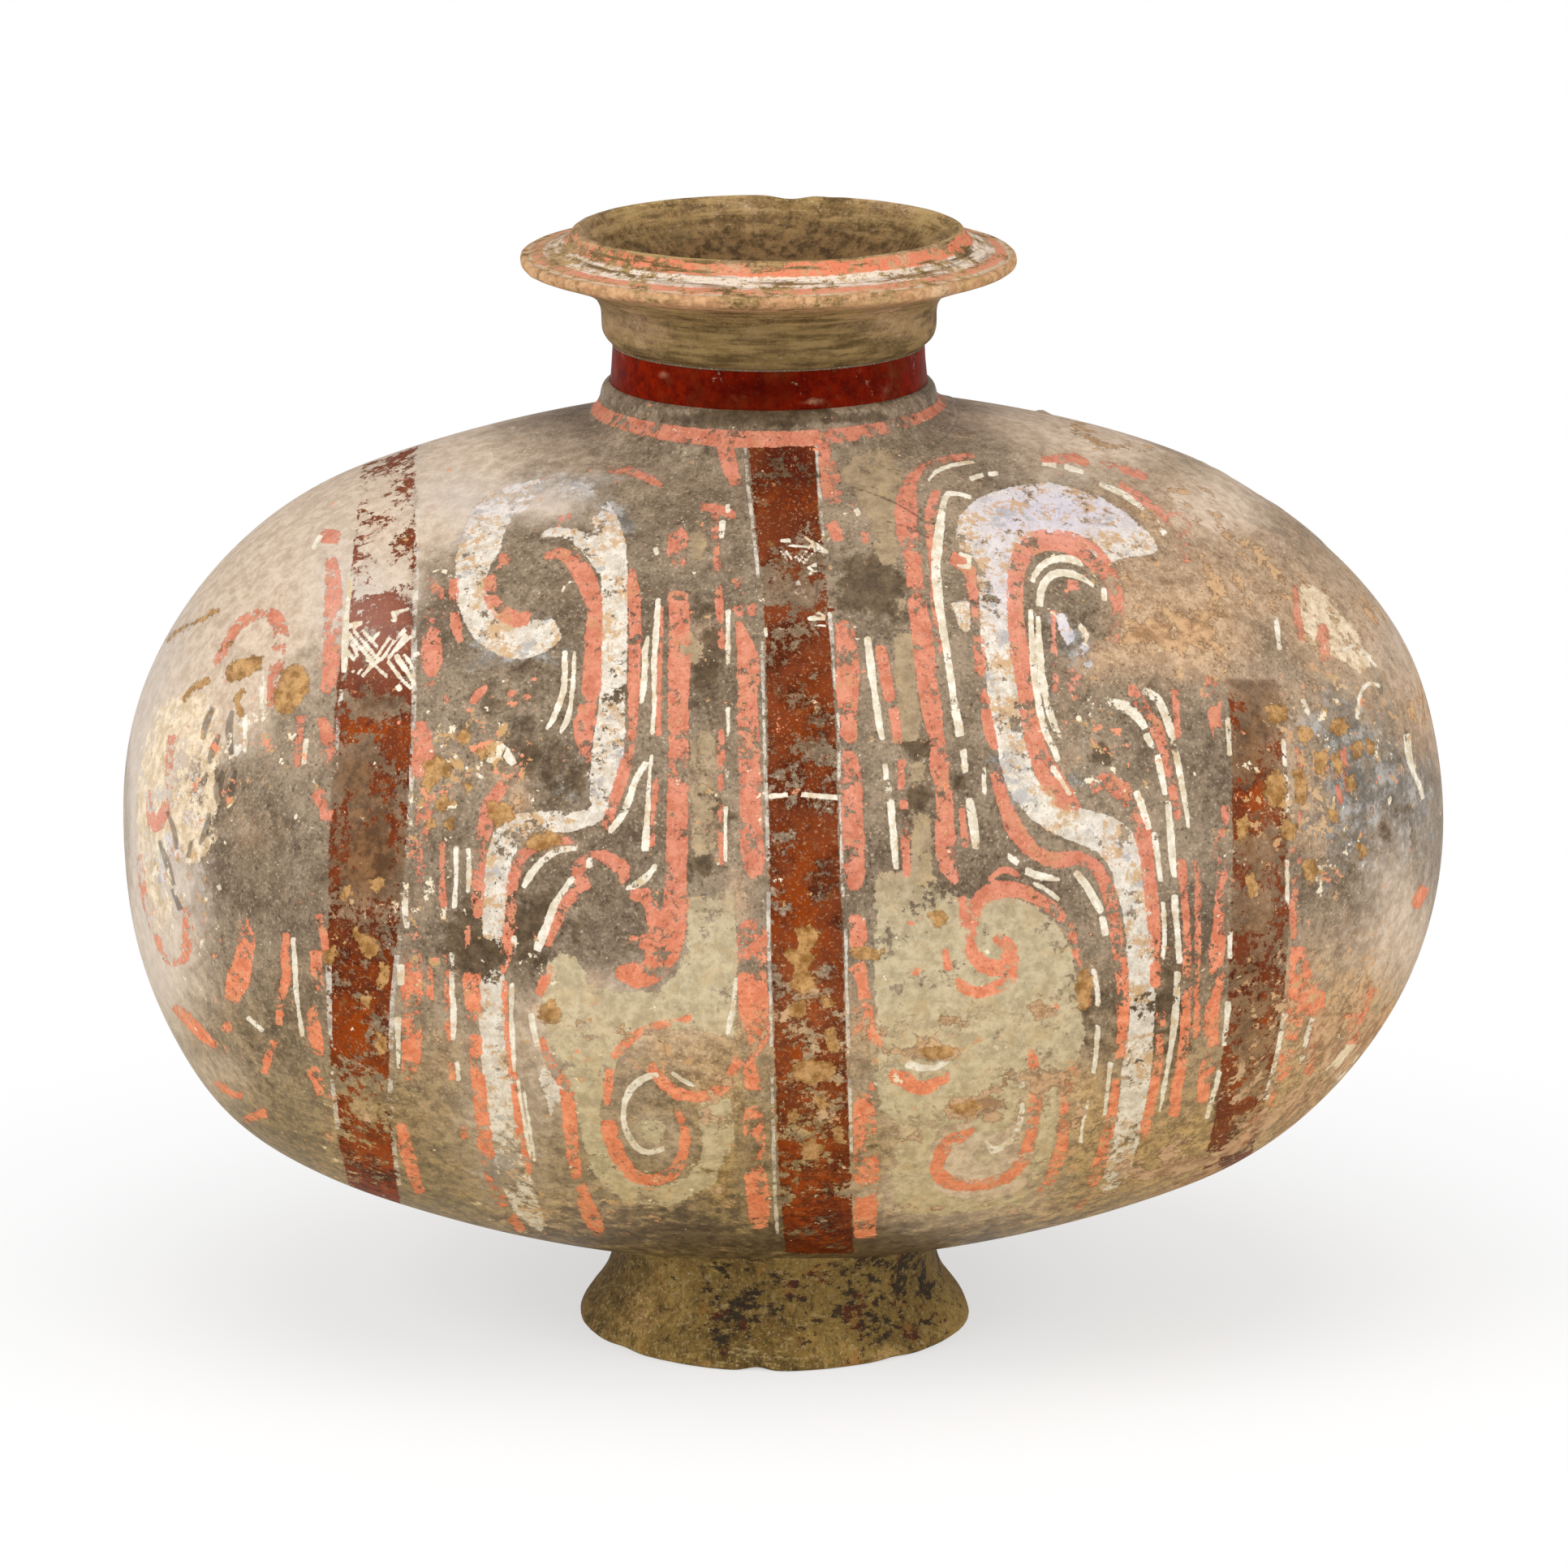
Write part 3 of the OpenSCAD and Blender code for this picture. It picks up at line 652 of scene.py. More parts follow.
brush("line", 8, """
1242,1054 1254,1064; 1264,1073/10 1283,1080/10 1306,1083/5; 1273,1088/6 1290,1097/7 1305,1109/5;
1325,1075 1338,1090/10 1348,1108/11 1357,1123/8; 1358,1130 1362,1152/9; 1347,1194/6 1352,1220/7
1353,1239/6; 1353,1264/6 1350,1302/6 1347,1323/5; 1118,1310/10 1132,1315/9 1150,1316/6 1165,1308/6
1173,1299/8; 1257,1324/9 1259,1340; 1260,1358/5 1256,1385 1247,1405/7 1235,1412/6 1222,1418
1215,1407/4; 1341,1357/4 1335,1380/4 1331,1407/4; 1368,1310/6 1364,1350/5 1361,1374/4""")
fill("pale", """
1130,1376 1162,1370 1154,1396 1142,1432 1148,1458 1166,1474 1200,1480 1250,1476 1272,1467 1262,1483
1200,1494 1150,1498 1112,1495 1100,1470 1100,1430 1112,1396""")
brush("pale", 22, "1296,1338/16 1292,1380/22 1285,1420/24 1272,1452/16; 1205,1420/14 1226,1432/18")

# %% Ends
brush("coral", 18, """
398,660/16 418,662/16; 408,688/12 411,720/19 411,760/21 409,800/20 406,830/18 401,852/12; 395,888/10
405,906/17 404,930/18 408,951/9; 388,974/12 400,990/20 402,1010/12; 393,1128/8 398,1150/8
402,1172/9; 390,1174/14 389,1200/12 396,1220/10; 384,1242/10 388,1270/16 394,1298/11; 386,1318/14
396,1346/11; 266,818/7 277,799/9 286,780/10 300,765/12 320,757/14 338,760/18 346,777/18 344,802/18
340,828/16 336,850/14 334,868/10; 370,883/10 368,915/9 366,944/6; 212,908/9 209,940/9 208,970/9
203,1000/13 192,1018/14 185,1002/8 185,975/5; 172,1055/6 180,1115/7 192,1150/7 200,1170/8
214,1186/10 226,1180/12 231,1160/11 232,1138/12 229,1118/8; 250,1108/7 246,1138/9; 300,1134/10
304,1156/19 301,1180/22 293,1206/27 286,1230/18; 353,1152/8 351,1180/8 353,1202/10 348,1228/9
343,1262/8; 338,1284/8 330,1305/8 326,1322/7; 216,1241/9 235,1260/12 250,1276/12 266,1289/8;
276,1264/12 284,1270/9; 266,1333/8 286,1348/8 298,1350/6; 302,1380/7 327,1371/10""")
brush("line", 6, """
323,822 322,873; 302,881/7 302,926/4; 377,911 374,941; 361,1156 363,1180 365,1220 370,1258/5
373,1276/4; 394,660 386,676; 305,1254 324,1270; 364,1003 366,1008; 269,1091 271,1096; 200,1036/13
196,1064/12 190,1080/6""")
fill("cream", """
170,960 180,905 194,884 204,930 202,990 206,1050 214,1100 206,1140 190,1150 178,1110 170,1050;
192,880 208,862 230,850 256,858 272,880 264,905 274,930 262,955 272,985 262,1012 268,1030 256,1046
244,1060 234,1070 222,1058 212,1044 204,1026 194,1010 188,985 190,950 186,915""")
brush("white", 12, """
206,1030/8 216,1050/14 226,1066/10; 228,1004/8 240,1014/14 254,1010/8; 196,1060/7 200,1084/8;
236,952/6 246,964/9 240,980/5; 258,868/5 262,884/8; 216,1096/6 222,1112/9 218,1130/5; 300,884/6
296,910/7 290,930/4""")
brush("crack", 6, """
262,872/5 254,892/9 250,910/5; 270,906/5 262,924/9 258,940/5; 276,950/6 268,972/10 270,990/6;
258,1002/5 254,1022/8 246,1040/4; 236,1036/4 232,1056/6; 286,876/5 282,900/9 286,930/5; 206,1000/4
214,1022/6 218,1046/4; 196,1036/4 206,1064/8 214,1090/5; 212,1096/4 222,1120/7; 290,950/5 284,980/8""")
fill("clod", """
277,834 283,818 295,810 311,807 323,811 319,823 309,832 295,838 283,841; 349,826 361,819 375,821
382,835 380,852 374,866 362,876 348,881 338,873 336,856 342,840; 454,1084 470,1081 474,1092 466,1100
456,1096; 420,1095 431,1090 435,1103 425,1111 418,1105; 398,1172 412,1165 418,1176 409,1188
398,1184; 436,1138 447,1150 462,1155 467,1170 457,1181 446,1173 440,1162 432,1151; 468,1186 481,1190
480,1206 472,1219 465,1206; 442,1226 458,1228 454,1241 445,1238; 464,1272 479,1277 477,1296
466,1299; 523,940 540,932 556,940 552,956 538,962 528,976 520,966; 600,990 616,985 634,992 630,1010
612,1020 602,1008; 666,1238 682,1234 694,1244 688,1258 672,1262 662,1252; 648,1030 672,1022 696,1026
690,1040 664,1050 648,1044; 1146,1124 1160,1120 1170,1130 1164,1142 1150,1144; 1126,1294 1150,1287
1178,1292 1172,1302 1146,1306; 1170,1362 1196,1355 1218,1360 1206,1372 1180,1374; 1328,1196
1340,1192 1348,1214 1342,1242 1330,1246 1326,1220; 1560,958 1576,948 1586,966 1584,998 1568,996
1558,978; 1594,950 1604,946 1612,966 1608,992 1598,990; 1640,930 1650,926 1656,944 1648,956
1640,946; 1636,998 1650,1000 1648,1016 1638,1012; 1684,910 1694,918 1692,934 1684,930; 1560,872
1572,866 1586,874 1582,890 1566,892; 1620,930 1632,926 1638,940 1630,958 1620,950; 1662,918 1676,914
1682,926 1670,936; 1600,900 1612,894 1620,906 1610,918 1600,912; 1640,886 1656,884 1664,896 1650,908
1640,900; 1580,1010 1592,1006 1600,1020 1592,1040 1580,1032; 1604,1062 1618,1058 1626,1074 1616,1090
1604,1082; 1524,1010 1536,1004 1540,1024 1530,1040 1522,1030; 1534,1080 1546,1076 1552,1096
1540,1108; 1660,960 1668,956 1672,970 1664,978; 1670,1040 1680,1036 1686,1050 1676,1058; 536,985
548,978 556,990 546,1002 534,998; 560,905 574,898 584,910 570,920; 545,1012 558,1006 562,1022
550,1030; 588,925 598,920 604,932 592,938; 524,1010 532,1004 538,1018 528,1026; 570,966 580,960
586,972 576,980; 978,1146 996,1141 1012,1150 1006,1166 988,1170; 964,1174 990,1162 1004,1178
996,1196 1012,1210 992,1226 972,1214 982,1194; 1016,1268 1030,1264 1033,1296 1020,1300; 974,1312
1000,1304 1030,1310 1026,1328 1000,1336 980,1330; 984,1408 1000,1402 1016,1412 1008,1432 990,1428;
1044,1172 1066,1166 1092,1170 1084,1182 1056,1184; 1010,1226 1030,1230 1026,1244 1012,1242; 976,1236
990,1232 996,1248 984,1258 974,1250; 1000,1352 1016,1348 1022,1362 1008,1370; 968,1370 980,1366
986,1380 974,1388; 1026,1392 1040,1388 1042,1408 1030,1410""")
brush("clod", 5, """
226,862/5 240,846/7 258,838/5; 206,790/3 222,776/4 246,764/4 268,752/3; 270,800/3 286,792/4;
300,848/4 292,866/6 298,880/4""")
brush("coral", 14, """
1596,722/7 1599,768/7; 1632,776/9 1634,812/9; 1486,838/10 1498,848/13 1500,864/12 1496,882/14
1502,912/13; 1510,995/8 1510,1014/6; 1505,1022/8 1500,1045/14 1505,1068/16 1505,1088/10; 1503,1096/9
1502,1130/12 1500,1166/18 1498,1190/17 1503,1208/12 1498,1232/10; 1494,1286/11 1491,1306/12;
1495,1236/14 1492,1270/16 1498,1290/9; 1491,1306/14 1484,1330/16 1482,1356/11; 1596,922/8 1600,945/9
1602,968/7; 1602,1000/6 1602,1014/6; 1594,1042/10 1600,1062/8; 1596,1076/8 1596,1108/7; 1600,1170/20
1601,1195/24 1600,1220/24 1596,1246/22 1592,1278/18; 1586,1296/18 1580,1332/13; 1570,1338/7
1566,1362/6; 1654,923/6 1658,950/7 1662,974/6; 1755,1094/10 1744,1117/13; 1622,1258/6 1620,1286/9
1618,1300/8 1611,1323/11; 1664,1250/13 1668,1284/16; 1612,1196/8 1616,1222/12 1612,1250/8;
1628,1224/10 1622,1262/14 1616,1296/10; 1590,1100/5 1594,1130/8 1592,1156/10; 1630,770/7 1628,790/12
1632,810/8; 1600,760/5 1606,788/8; 1648,968/5 1652,990/8; 1692,1218/8 1680,1240/13 1672,1262/10;
1548,1370/8 1536,1398/12 1524,1414/8""")
fill("cream", """
1632,1290 1652,1276 1676,1286 1690,1298 1676,1322 1650,1332 1634,1318; 1598,730 1612,716 1640,740
1668,776 1690,812 1680,830 1650,812 1622,800 1604,776""")
brush("line", 6, """
1655,801/5 1665,795/4 1680,801/4 1697,824/3; 1700,845/5 1686,842/5 1676,856/4 1672,886; 1733,905/8
1736,930/9 1741,950/6 1751,972/5 1753,984/4; 1605,862 1611,880; 1617,1256 1610,1280 1603,1313/5""")
brush("crack", 2.0, """
1046,599 1075,608 1108,622 1136,640; 1092,642 1120,650 1146,663; 1172,741 1200,742 1230,757;
1003,660 1008,700 1005,740""")
print(len(strokes), "strokes and shapes written")

# %% [markdown]
# ## Wear, soil, painted sheen and painted shade
# The jar's age is laid on with soft dabs, again in photograph pixels: centre, half width and
# half height, strength. Soil crusts the shoulders and the right end; loss is where the paint
# has flaked; dark is worn or burnt clay, and also painted shade in the creases round the neck's
# coil, on the neck in front, along the underside of the body and on the top of the foot; film
# and sheen is a pale film low on the body and painted sheen on the ends and the upper
# shoulders; lavender and sheen is where the white has turned cold, and painted sheen where it
# lies on the ends and the upper shoulders; blue grey and sheen is cold grey clay, and painted
# sheen on the ends and the upper left shoulder; stain browns the bands and rust reddens them;
# bits are loose flakes of colour.

# %% Dabs
dabs = {
    "soil": """
300,1260 120,130 .05; 330,1010 60,90 .12; 1352,812 40,28 .55; 1320,940 20,30 .3; 820,1340 420,130
.12; 1260,1400 300,130 .16; 480,1330 200,160 .05; 1600,720 200,140 .1; 1730,850 40,90 .25; 1580,1280
220,200 .28; 1440,620 160,60 .2; 980,1500 400,40 .1; 1460,640 80,60 .25; 1580,720 110,90 .25;
1660,790 80,90 .3; 1430,780 60,70 .55; 1490,780 60,60 .5; 1390,720 36,40 .3; 1360,535 110,40 .5;
1230,510 120,22 .3; 1590,940 40,70 .35; 1620,1010 40,60 .3; 1550,1060 30,120 .2; 1700,1230 80,100
.35; 1640,1320 80,80 .35; 1560,1400 110,70 .4; 1440,1450 90,50 .4; 1760,880 24,80 .4; 665,1038 34,18
.55; 676,1246 20,16 .8; 720,1216 30,16 .5; 1156,1132 16,14 .4; 1336,1216 14,30 .4; 455,1120 44,40
.4; 560,925 40,24 .1; 530,960 30,60 .1; 620,960 30,24 .25; 545,1010 30,40 .1; 640,990 14,14 .6;
868,780 14,26 .5; 985,1190 30,30 .4; 1000,1250 46,60 .3; 1000,1350 40,60 .3; 1000,1440 40,30 .2;
866,960 22,90 .2; 905,1108 24,36 .6; 760,1264 80,20 .5; 920,1262 50,22 .5; 1180,1256 100,22 .5;
1290,1246 34,26 .45; 1130,1400 60,30 .3; 840,1290 70,24 .55; 880,1340 40,36 .45; 885,1430 30,50 .4;
1120,1290 60,24 .45; 1192,1366 40,12 .5; 1150,1298 40,12 .4; 1290,1335 60,24 .5; 1330,1380 50,60 .3;
1240,1500 160,30 .35; 1230,1350 50,40 .25; 560,1260 30,80 .1; 540,1370 50,60 .1; 450,1390 46,60 .35;
700,1500 120,30 .3; 420,1470 80,40 .15; 240,940 40,60 .2; 700,290 70,34 .3; 1160,360 14,12 .8;
1100,290 50,26 .55; 900,330 60,12 .2; 760,400 60,34 .3; 1100,395 70,26 .25; 818,462 9,6 .4; 1000,495
16,5 .4; 780,1620 60,50 .5; 1100,1668 40,16 .5; 870,1684 60,8 .35""",
    "loss": """
1545,842 50,14 .9; 1545,900 20,40 .4; 1000,1240 40,80 .3; 1000,1390 40,70 .24; 1550,860 40,90 .3;
450,1350 44,60 .12; 610,1180 40,16 1.0; 690,612 60,20 .9; 735,630 20,20 .3; 980,735 50,26 .7;
985,690 40,26 .3; 470,620 60,60 .6; 470,705 40,26 .7; 460,870 50,16 .8; 442,965 34,56 .95; 450,1070
50,50 .7; 450,1340 50,80 .42; 1540,700 60,80 .6; 1550,930 50,60 .5; 1550,1100 40,90 .7; 1540,1300
50,80 .5; 1330,1460 80,40 .4; 1084,1440 30,80 .2; 922,1400 24,60 .3; 850,712 40,12 .9; 1330,860
50,40 .5; 620,1440 30,30 .4; 660,560 100,20 .5; 870,960 30,90 .3; 240,960 60,120 .25; 220,1120 60,80
.4; 530,760 20,60 .2; 520,1100 30,160 .4; 1072,1310 24,60 .25; 1400,900 60,60 .3; 1450,640 40,50 .4;
330,800 50,50 .5; 1120,570 90,20 .3; 1270,1350 30,60 .3; 700,300 80,40 .25; 1130,380 60,40 .3""",
    "dark": """
950,515 180,9 .8; 1070,470 60,34 .5; 930,480 80,26 1.0; 1110,1630 50,60 1.0; 1340,1250 20,50 .5;
1430,1250 40,60 .4; 1490,960 20,120 .25; 1720,980 30,90 .35; 1650,1060 40,50 .3; 250,1160 40,50 .3;
450,970 46,80 .55; 600,850 80,50 .25; 975,590 40,56 .9; 975,560 40,20 .5; 1545,960 26,120 .7;
1540,1180 26,60 .4; 950,1600 170,40 .5; 600,1150 70,50 .9; 640,1100 40,50 .5; 870,800 30,70 .7;
1130,920 26,14 1.0; 1136,980 22,20 1.0; 1060,715 36,40 .8; 1357,930 12,14 1.2; 1505,1355 16,30 .8;
1183,965 10,10 1.0; 470,860 50,30 .4; 450,1180 50,60 .4; 905,985 60,50 .22; 1104,1200 40,70 .2;
1368,1248 40,40 .2; 970,1530 420,36 .5; 1180,1500 200,40 .4; 760,1500 160,40 .4; 1440,1260 60,120
.3; 1090,740 50,60 .5; 760,880 40,120 .25; 860,980 40,90 .3; 1240,980 40,60 .25; 330,1300 90,80 .3;
870,1070 34,28 .5; 650,860 60,70 .3; 860,540 70,24 .5; 1080,545 50,16 .4; 620,930 60,40 .4; 640,720
30,30 .15; 720,1130 40,40 .4; 690,960 40,30 .6; 1330,720 30,30 .3; 1100,1400 30,40 .3; 840,590 40,30
.3; 1420,700 50,40 .3; 960,1590 120,26 .8; 1090,1600 60,40 1.0; 870,1652 70,16 .7; 990,1640 90,20
.5; 1110,1555 40,16 .8""",
    "veil": """
230,760 90,110 .6; 190,900 30,120 .3; 1690,1180 60,60 .3; 576,626 50,30 .3; 444,520 60,40 .3;
1500,624 60,40 .2; 215,1210 50,90 .45; 176,1000 20,140 .6; 215,1080 40,120 .4; 260,900 50,50 .4;
1300,520 130,30 .45; 1150,1480 150,40 .4; 720,1480 100,40 .25; 1710,1090 40,70 .35; 470,725 60,40
.5; 530,620 50,50 .35; 330,800 70,60 .3; 190,1130 40,90 .3; 270,1330 60,40 .3; 420,590 170,60 .6;
600,545 170,40 .3; 1620,660 120,80 .12; 1720,790 60,90 .3; 1380,545 90,24 .7; 1500,620 60,40 .55;
560,610 60,40 .5; 440,560 80,40 .3; 640,1370 100,60 .3; 1740,1000 30,80 .12; 680,622 60,26 .5;
190,960 30,90 .4; 1740,1150 30,60 .3; 680,1270 160,50 .3; 620,1400 60,90 .25; 1200,1380 130,90 .4;
1340,510 140,20 .4; 520,560 60,40 .5; 280,860 60,50 .5; 500,610 80,60 .45; 340,690 130,110 .75;
700,575 130,30 .1; 1330,585 110,26 .25; 240,850 60,60 .4; 740,1230 90,60 .35; 1200,1250 110,70 .25;
870,1200 40,90 .3; 820,1400 70,60 .25; 1200,1440 80,50 .25; 420,700 60,90 .35""",
    "lavender": """
560,610 60,40 .5; 465,770 50,60 .8; 180,760 50,100 .7; 172,980 26,120 .5; 180,1240 50,110 .7;
1740,760 60,100 .5; 1300,630 130,40 1.0; 1230,720 30,60 .6; 690,615 80,30 .6; 200,1000 40,120 .6;
1320,780 40,60 .8; 1375,1040 50,40 .15; 420,720 40,80 .4""",
    "blue": """
1250,930 40,60 .7; 745,920 30,60 .5; 1225,800 30,80 .4; 625,1440 40,50 .7; 1390,1100 30,60 .5;
640,790 60,30 .4; 186,1080 26,80 .6; 205,1000 16,50 .6; 300,900 20,60 .5; 1670,985 80,110 .65;
1745,1010 30,90 .4; 570,640 16,60 .6; 690,600 70,26 .7; 756,640 26,26 .8; 640,800 60,26 .4; 700,980
40,26 .5; 230,1100 40,60 .6; 1320,800 30,40 .6; 1200,640 40,30 .4; 1330,950 40,40 .5; 1640,880 60,40
.3""",
    "stain": """
455,950 70,130 1.0; 450,1070 70,60 .8; 450,1200 60,90 .5; 1545,960 60,260 1.0; 1540,1280 60,120 .8;
985,860 60,90 .5; 980,700 60,80 .5; 470,700 60,50 .3; 1520,680 50,70 .4""",
    "bits": """
590,900 70,60 .9; 560,960 50,60 .9; 330,900 70,50 .7; 290,960 40,60 .7; 640,960 40,40 .6; 880,760
30,60 .5; 880,1000 24,90 .5; 1340,880 50,50 .7; 1360,940 40,40 .8; 1460,830 60,40 .7; 1620,960 50,90
1.0; 1560,1000 40,90 .9; 1640,1060 50,60 .6; 1600,1240 80,70 .8; 1690,1230 60,80 .9; 1540,1330 70,60
.6; 1400,1420 70,50 .7; 1300,1420 60,60 .6; 1100,1340 60,60 .6; 1180,1290 90,30 .8; 840,1300 60,40
.8; 900,1400 40,60 .6; 700,1260 60,60 .6; 660,1500 60,30 .8; 790,1480 90,30 .6; 520,1060 30,120 .7;
540,1200 40,80 .5; 450,1140 50,60 .6; 430,1420 50,60 .6; 400,1370 30,60 .6; 220,1080 40,70 .9;
240,1180 40,40 .5; 230,930 40,70 .5; 1180,960 30,60 .5; 1330,730 40,40 .4; 1000,1400 60,90 .4;
640,1160 30,60 .6; 1400,700 40,40 .7; 1640,850 60,50 .8; 1720,900 40,80 .8""",
    "rust": """
455,900 60,20 .9; 495,970 24,40 .9; 450,1270 50,90 .9; 460,1440 50,80 1.1; 980,620 40,14 1.0;
1000,890 40,60 .4; 990,1100 44,90 .6; 990,1300 44,120 .9; 1000,1480 44,80 1.1; 1550,860 30,40 .8;
1530,975 40,20 .9; 1566,1250 24,30 .9; 1545,1000 30,90 .6; 1540,1340 40,60 .8""",
}
pigments = ("pale", "cream", "maroon", "trim", "white", "coral", "line", "crack", "clod")

# %% [markdown]
# Now every point of the pieces looks up where it falls in the photograph, takes the nearest
# edge of each pigment and the sum of the dabs over it.

# %% Distances
far_off, brush_spacing, no_zero = 99.0, 7, 1e-9


def to_segment(x, y, a, b):
    """Distance to a straight piece, and how far along it the nearest place is, 0 to 1."""
    dx, dy = b[0] - a[0], b[1] - a[1]
    t = np.clip(((x - a[0]) * dx + (y - a[1]) * dy) / (dx * dx + dy * dy + no_zero), 0, 1)
    return np.hypot(x - a[0] - t * dx, y - a[1] - t * dy), t


def brush_distance(path, x, y):
    """Distance to a stroke's edge, less than zero inside; its ends are cut nearly square."""
    line = smooth_line(path, brush_spacing)
    near = np.full(len(x), far_off)
    for a, b in zip(line, line[1:]):
        far, t = to_segment(x, y, a, b)
        near = np.minimum(near, far - 0.5 * (a[2] + t * (b[2] - a[2])))
    for tip, next_one in ((line[0], line[1]), (line[-1], line[-2])):
        way = (tip - next_one)[:2]
        past = (x - tip[0]) * way[0] + (y - tip[1]) * way[1]
        past = past / (np.hypot(*way) + no_zero)
        close = np.hypot(x - tip[0], y - tip[1]) < 0.8 * tip[2] + 4
        near = np.where(close & (past > 0), np.maximum(near, past - 0.12 * tip[2]), near)
    return near


def fill_distance(path, x, y):
    """Distance to a filled shape's edge, less than zero inside."""
    near, inside = np.full(len(x), far_off), np.zeros(len(x), bool)
    for a, b in zip(path, np.roll(path, -1, axis=0)):
        near = np.minimum(near, to_segment(x, y, a, b)[0])
        cross_x = (b[0] - a[0]) * (y - a[1]) / (b[1] - a[1] + no_zero) + a[0]
        inside ^= ((a[1] > y) != (b[1] > y)) & (x < cross_x)
    return np.where(inside, -near, near)


def nearest_edge(shapes, x, y, start, reach, wanted=True):
    """Distance in pixels to the nearest of some shapes, no more than start."""
    near = np.full(len(x), start)
    for _, kind, path in shapes:
        low, high = path[:, :2].min(axis=0) - reach, path[:, :2].max(axis=0) + reach
        close = np.flatnonzero((x > low[0]) & (x < high[0]) & (y > low[1]) & (y < high[1]) & wanted)
        if len(close):
            distance = brush_distance if kind == "brush" else fill_distance
            near[close] = np.minimum(near[close], distance(path, x[close], y[close]))
    return near


# %% [markdown]
# Thin lines and the edges of clods need a finer net than the rest, so the faces under them
# are cut smaller on the front of the bowls. Then every piece gets its fields.

# %% Finer net and fields
thin_width, finer_within = 10, 3.7
fine_shapes = [s for s in strokes
               if s[0] == "clod" or (s[1] == "brush" and s[2][:, 2].mean() < thin_width)]


def cut_finer(piece):
    """Cut the outer faces under thin lines and clod edges smaller, so that they stay crisp."""
    points = points_of(piece)
    near = nearest_edge(fine_shapes, *photo_pixels(points), far_off, 12, points[:, 1] < 0)
    mesh = piece.data
    starts, corners = np.empty(len(mesh.polygons), int), np.empty(len(mesh.loops), int)
    normals, centres = np.empty(3 * len(starts)), np.empty(3 * len(starts))
    mesh.polygons.foreach_get("loop_start", starts)
    mesh.loops.foreach_get("vertex_index", corners)
    mesh.polygons.foreach_get("normal", normals)
    mesh.polygons.foreach_get("center", centres)
    from_middle = centres.reshape(-1, 3) - np.array(body_middle)
    outward = np.sum(normals.reshape(-1, 3) * from_middle, axis=1) > 0
    thin = np.minimum.reduceat(np.abs(near[corners] + 1), starts) < finer_within
    pick(piece)
    bpy.ops.object.mode_set(mode="EDIT")
    bpy.ops.mesh.select_mode(type="FACE")
    bpy.ops.mesh.select_all(action="DESELECT")
    bpy.ops.object.mode_set(mode="OBJECT")
    mesh.polygons.foreach_set("select", outward & thin)
    bpy.ops.object.mode_set(mode="EDIT")
    bpy.ops.mesh.subdivide(number_cuts=2)
    bpy.ops.object.mode_set(mode="OBJECT")
    mesh.calc_loop_triangles()
    print(piece.name, "has", len(mesh.loop_triangles), "triangles")


def write_field(piece, name, values):
    field = piece.data.attributes.new(name, "FLOAT", "POINT")
    field.data.foreach_set("value", values.astype(np.float32))


def paint_piece(piece, with_paint):
    x, y = photo_pixels(points_of(piece))
    for name in pigments if with_paint else ():
        shapes = [s for s in strokes if s[0] == name]
        write_field(piece, name, nearest_edge(shapes, x, y, 40.0, 30) * mm_per_px)
    for name, spots in dabs.items():
        total = np.zeros(len(x))
        for spot in spots.split(";"):
            cx, cy, wide, tall, strength = map(float, spot.replace(",", " ").split())
            total += strength * np.exp(-(((x - cx) / wide)**2 + ((y - cy) / tall)**2))
        write_field(piece, name, np.clip(total, 0, 1.2))


def add_neck_ring(piece):
    """The coral ring that runs round the neck on the shoulder of its coil."""
    ring_radius, ring_half, ring_floor, steepness = 44.1, 0.95, 0.225, 3.2
    points = points_of(piece)
    far = np.hypot(points[:, 0] - neck_centre.x, points[:, 1]) / MM
    to_ring = steepness * (np.abs(far - ring_radius) - ring_half)
    to_ring = np.where(points[:, 2] > ring_floor, to_ring, 9.0)
    now = np.empty(len(points), np.float32)
    field = piece.data.attributes["coral"].data
    field.foreach_get("value", now)
    field.foreach_set("value", np.minimum(now, to_ring).astype(np.float32))


for piece in (left_bowl, right_bowl):
    cut_finer(piece)
for piece in (left_bowl, right_bowl, coil):
    paint_piece(piece, True)
    add_neck_ring(piece)
for piece in (neck, mouth, foot):
    paint_piece(piece, False)
print("painted", [p.name for p in (left_bowl, right_bowl, coil, neck, mouth, foot)])

# %% [markdown]
# ## Finishes
# All finishes are mixed from the same few parts: a mottled burnished clay, pigments whose
# edges come from the distances above and whose flaking comes from noise, and a crust of
# soil. A small helper keeps the node trees short. Colours are written as seen on a screen.

# %% Finish helper
def rgb(r, g, b):
    """A screen colour, 0 to 255, as the linear colour that a shader takes."""
    return tuple((c / 255 / 12.92 if c < 10.3 else ((c / 255 + 0.055) / 1.055)**2.4)
                 for c in (r, g, b)) + (1.0,)


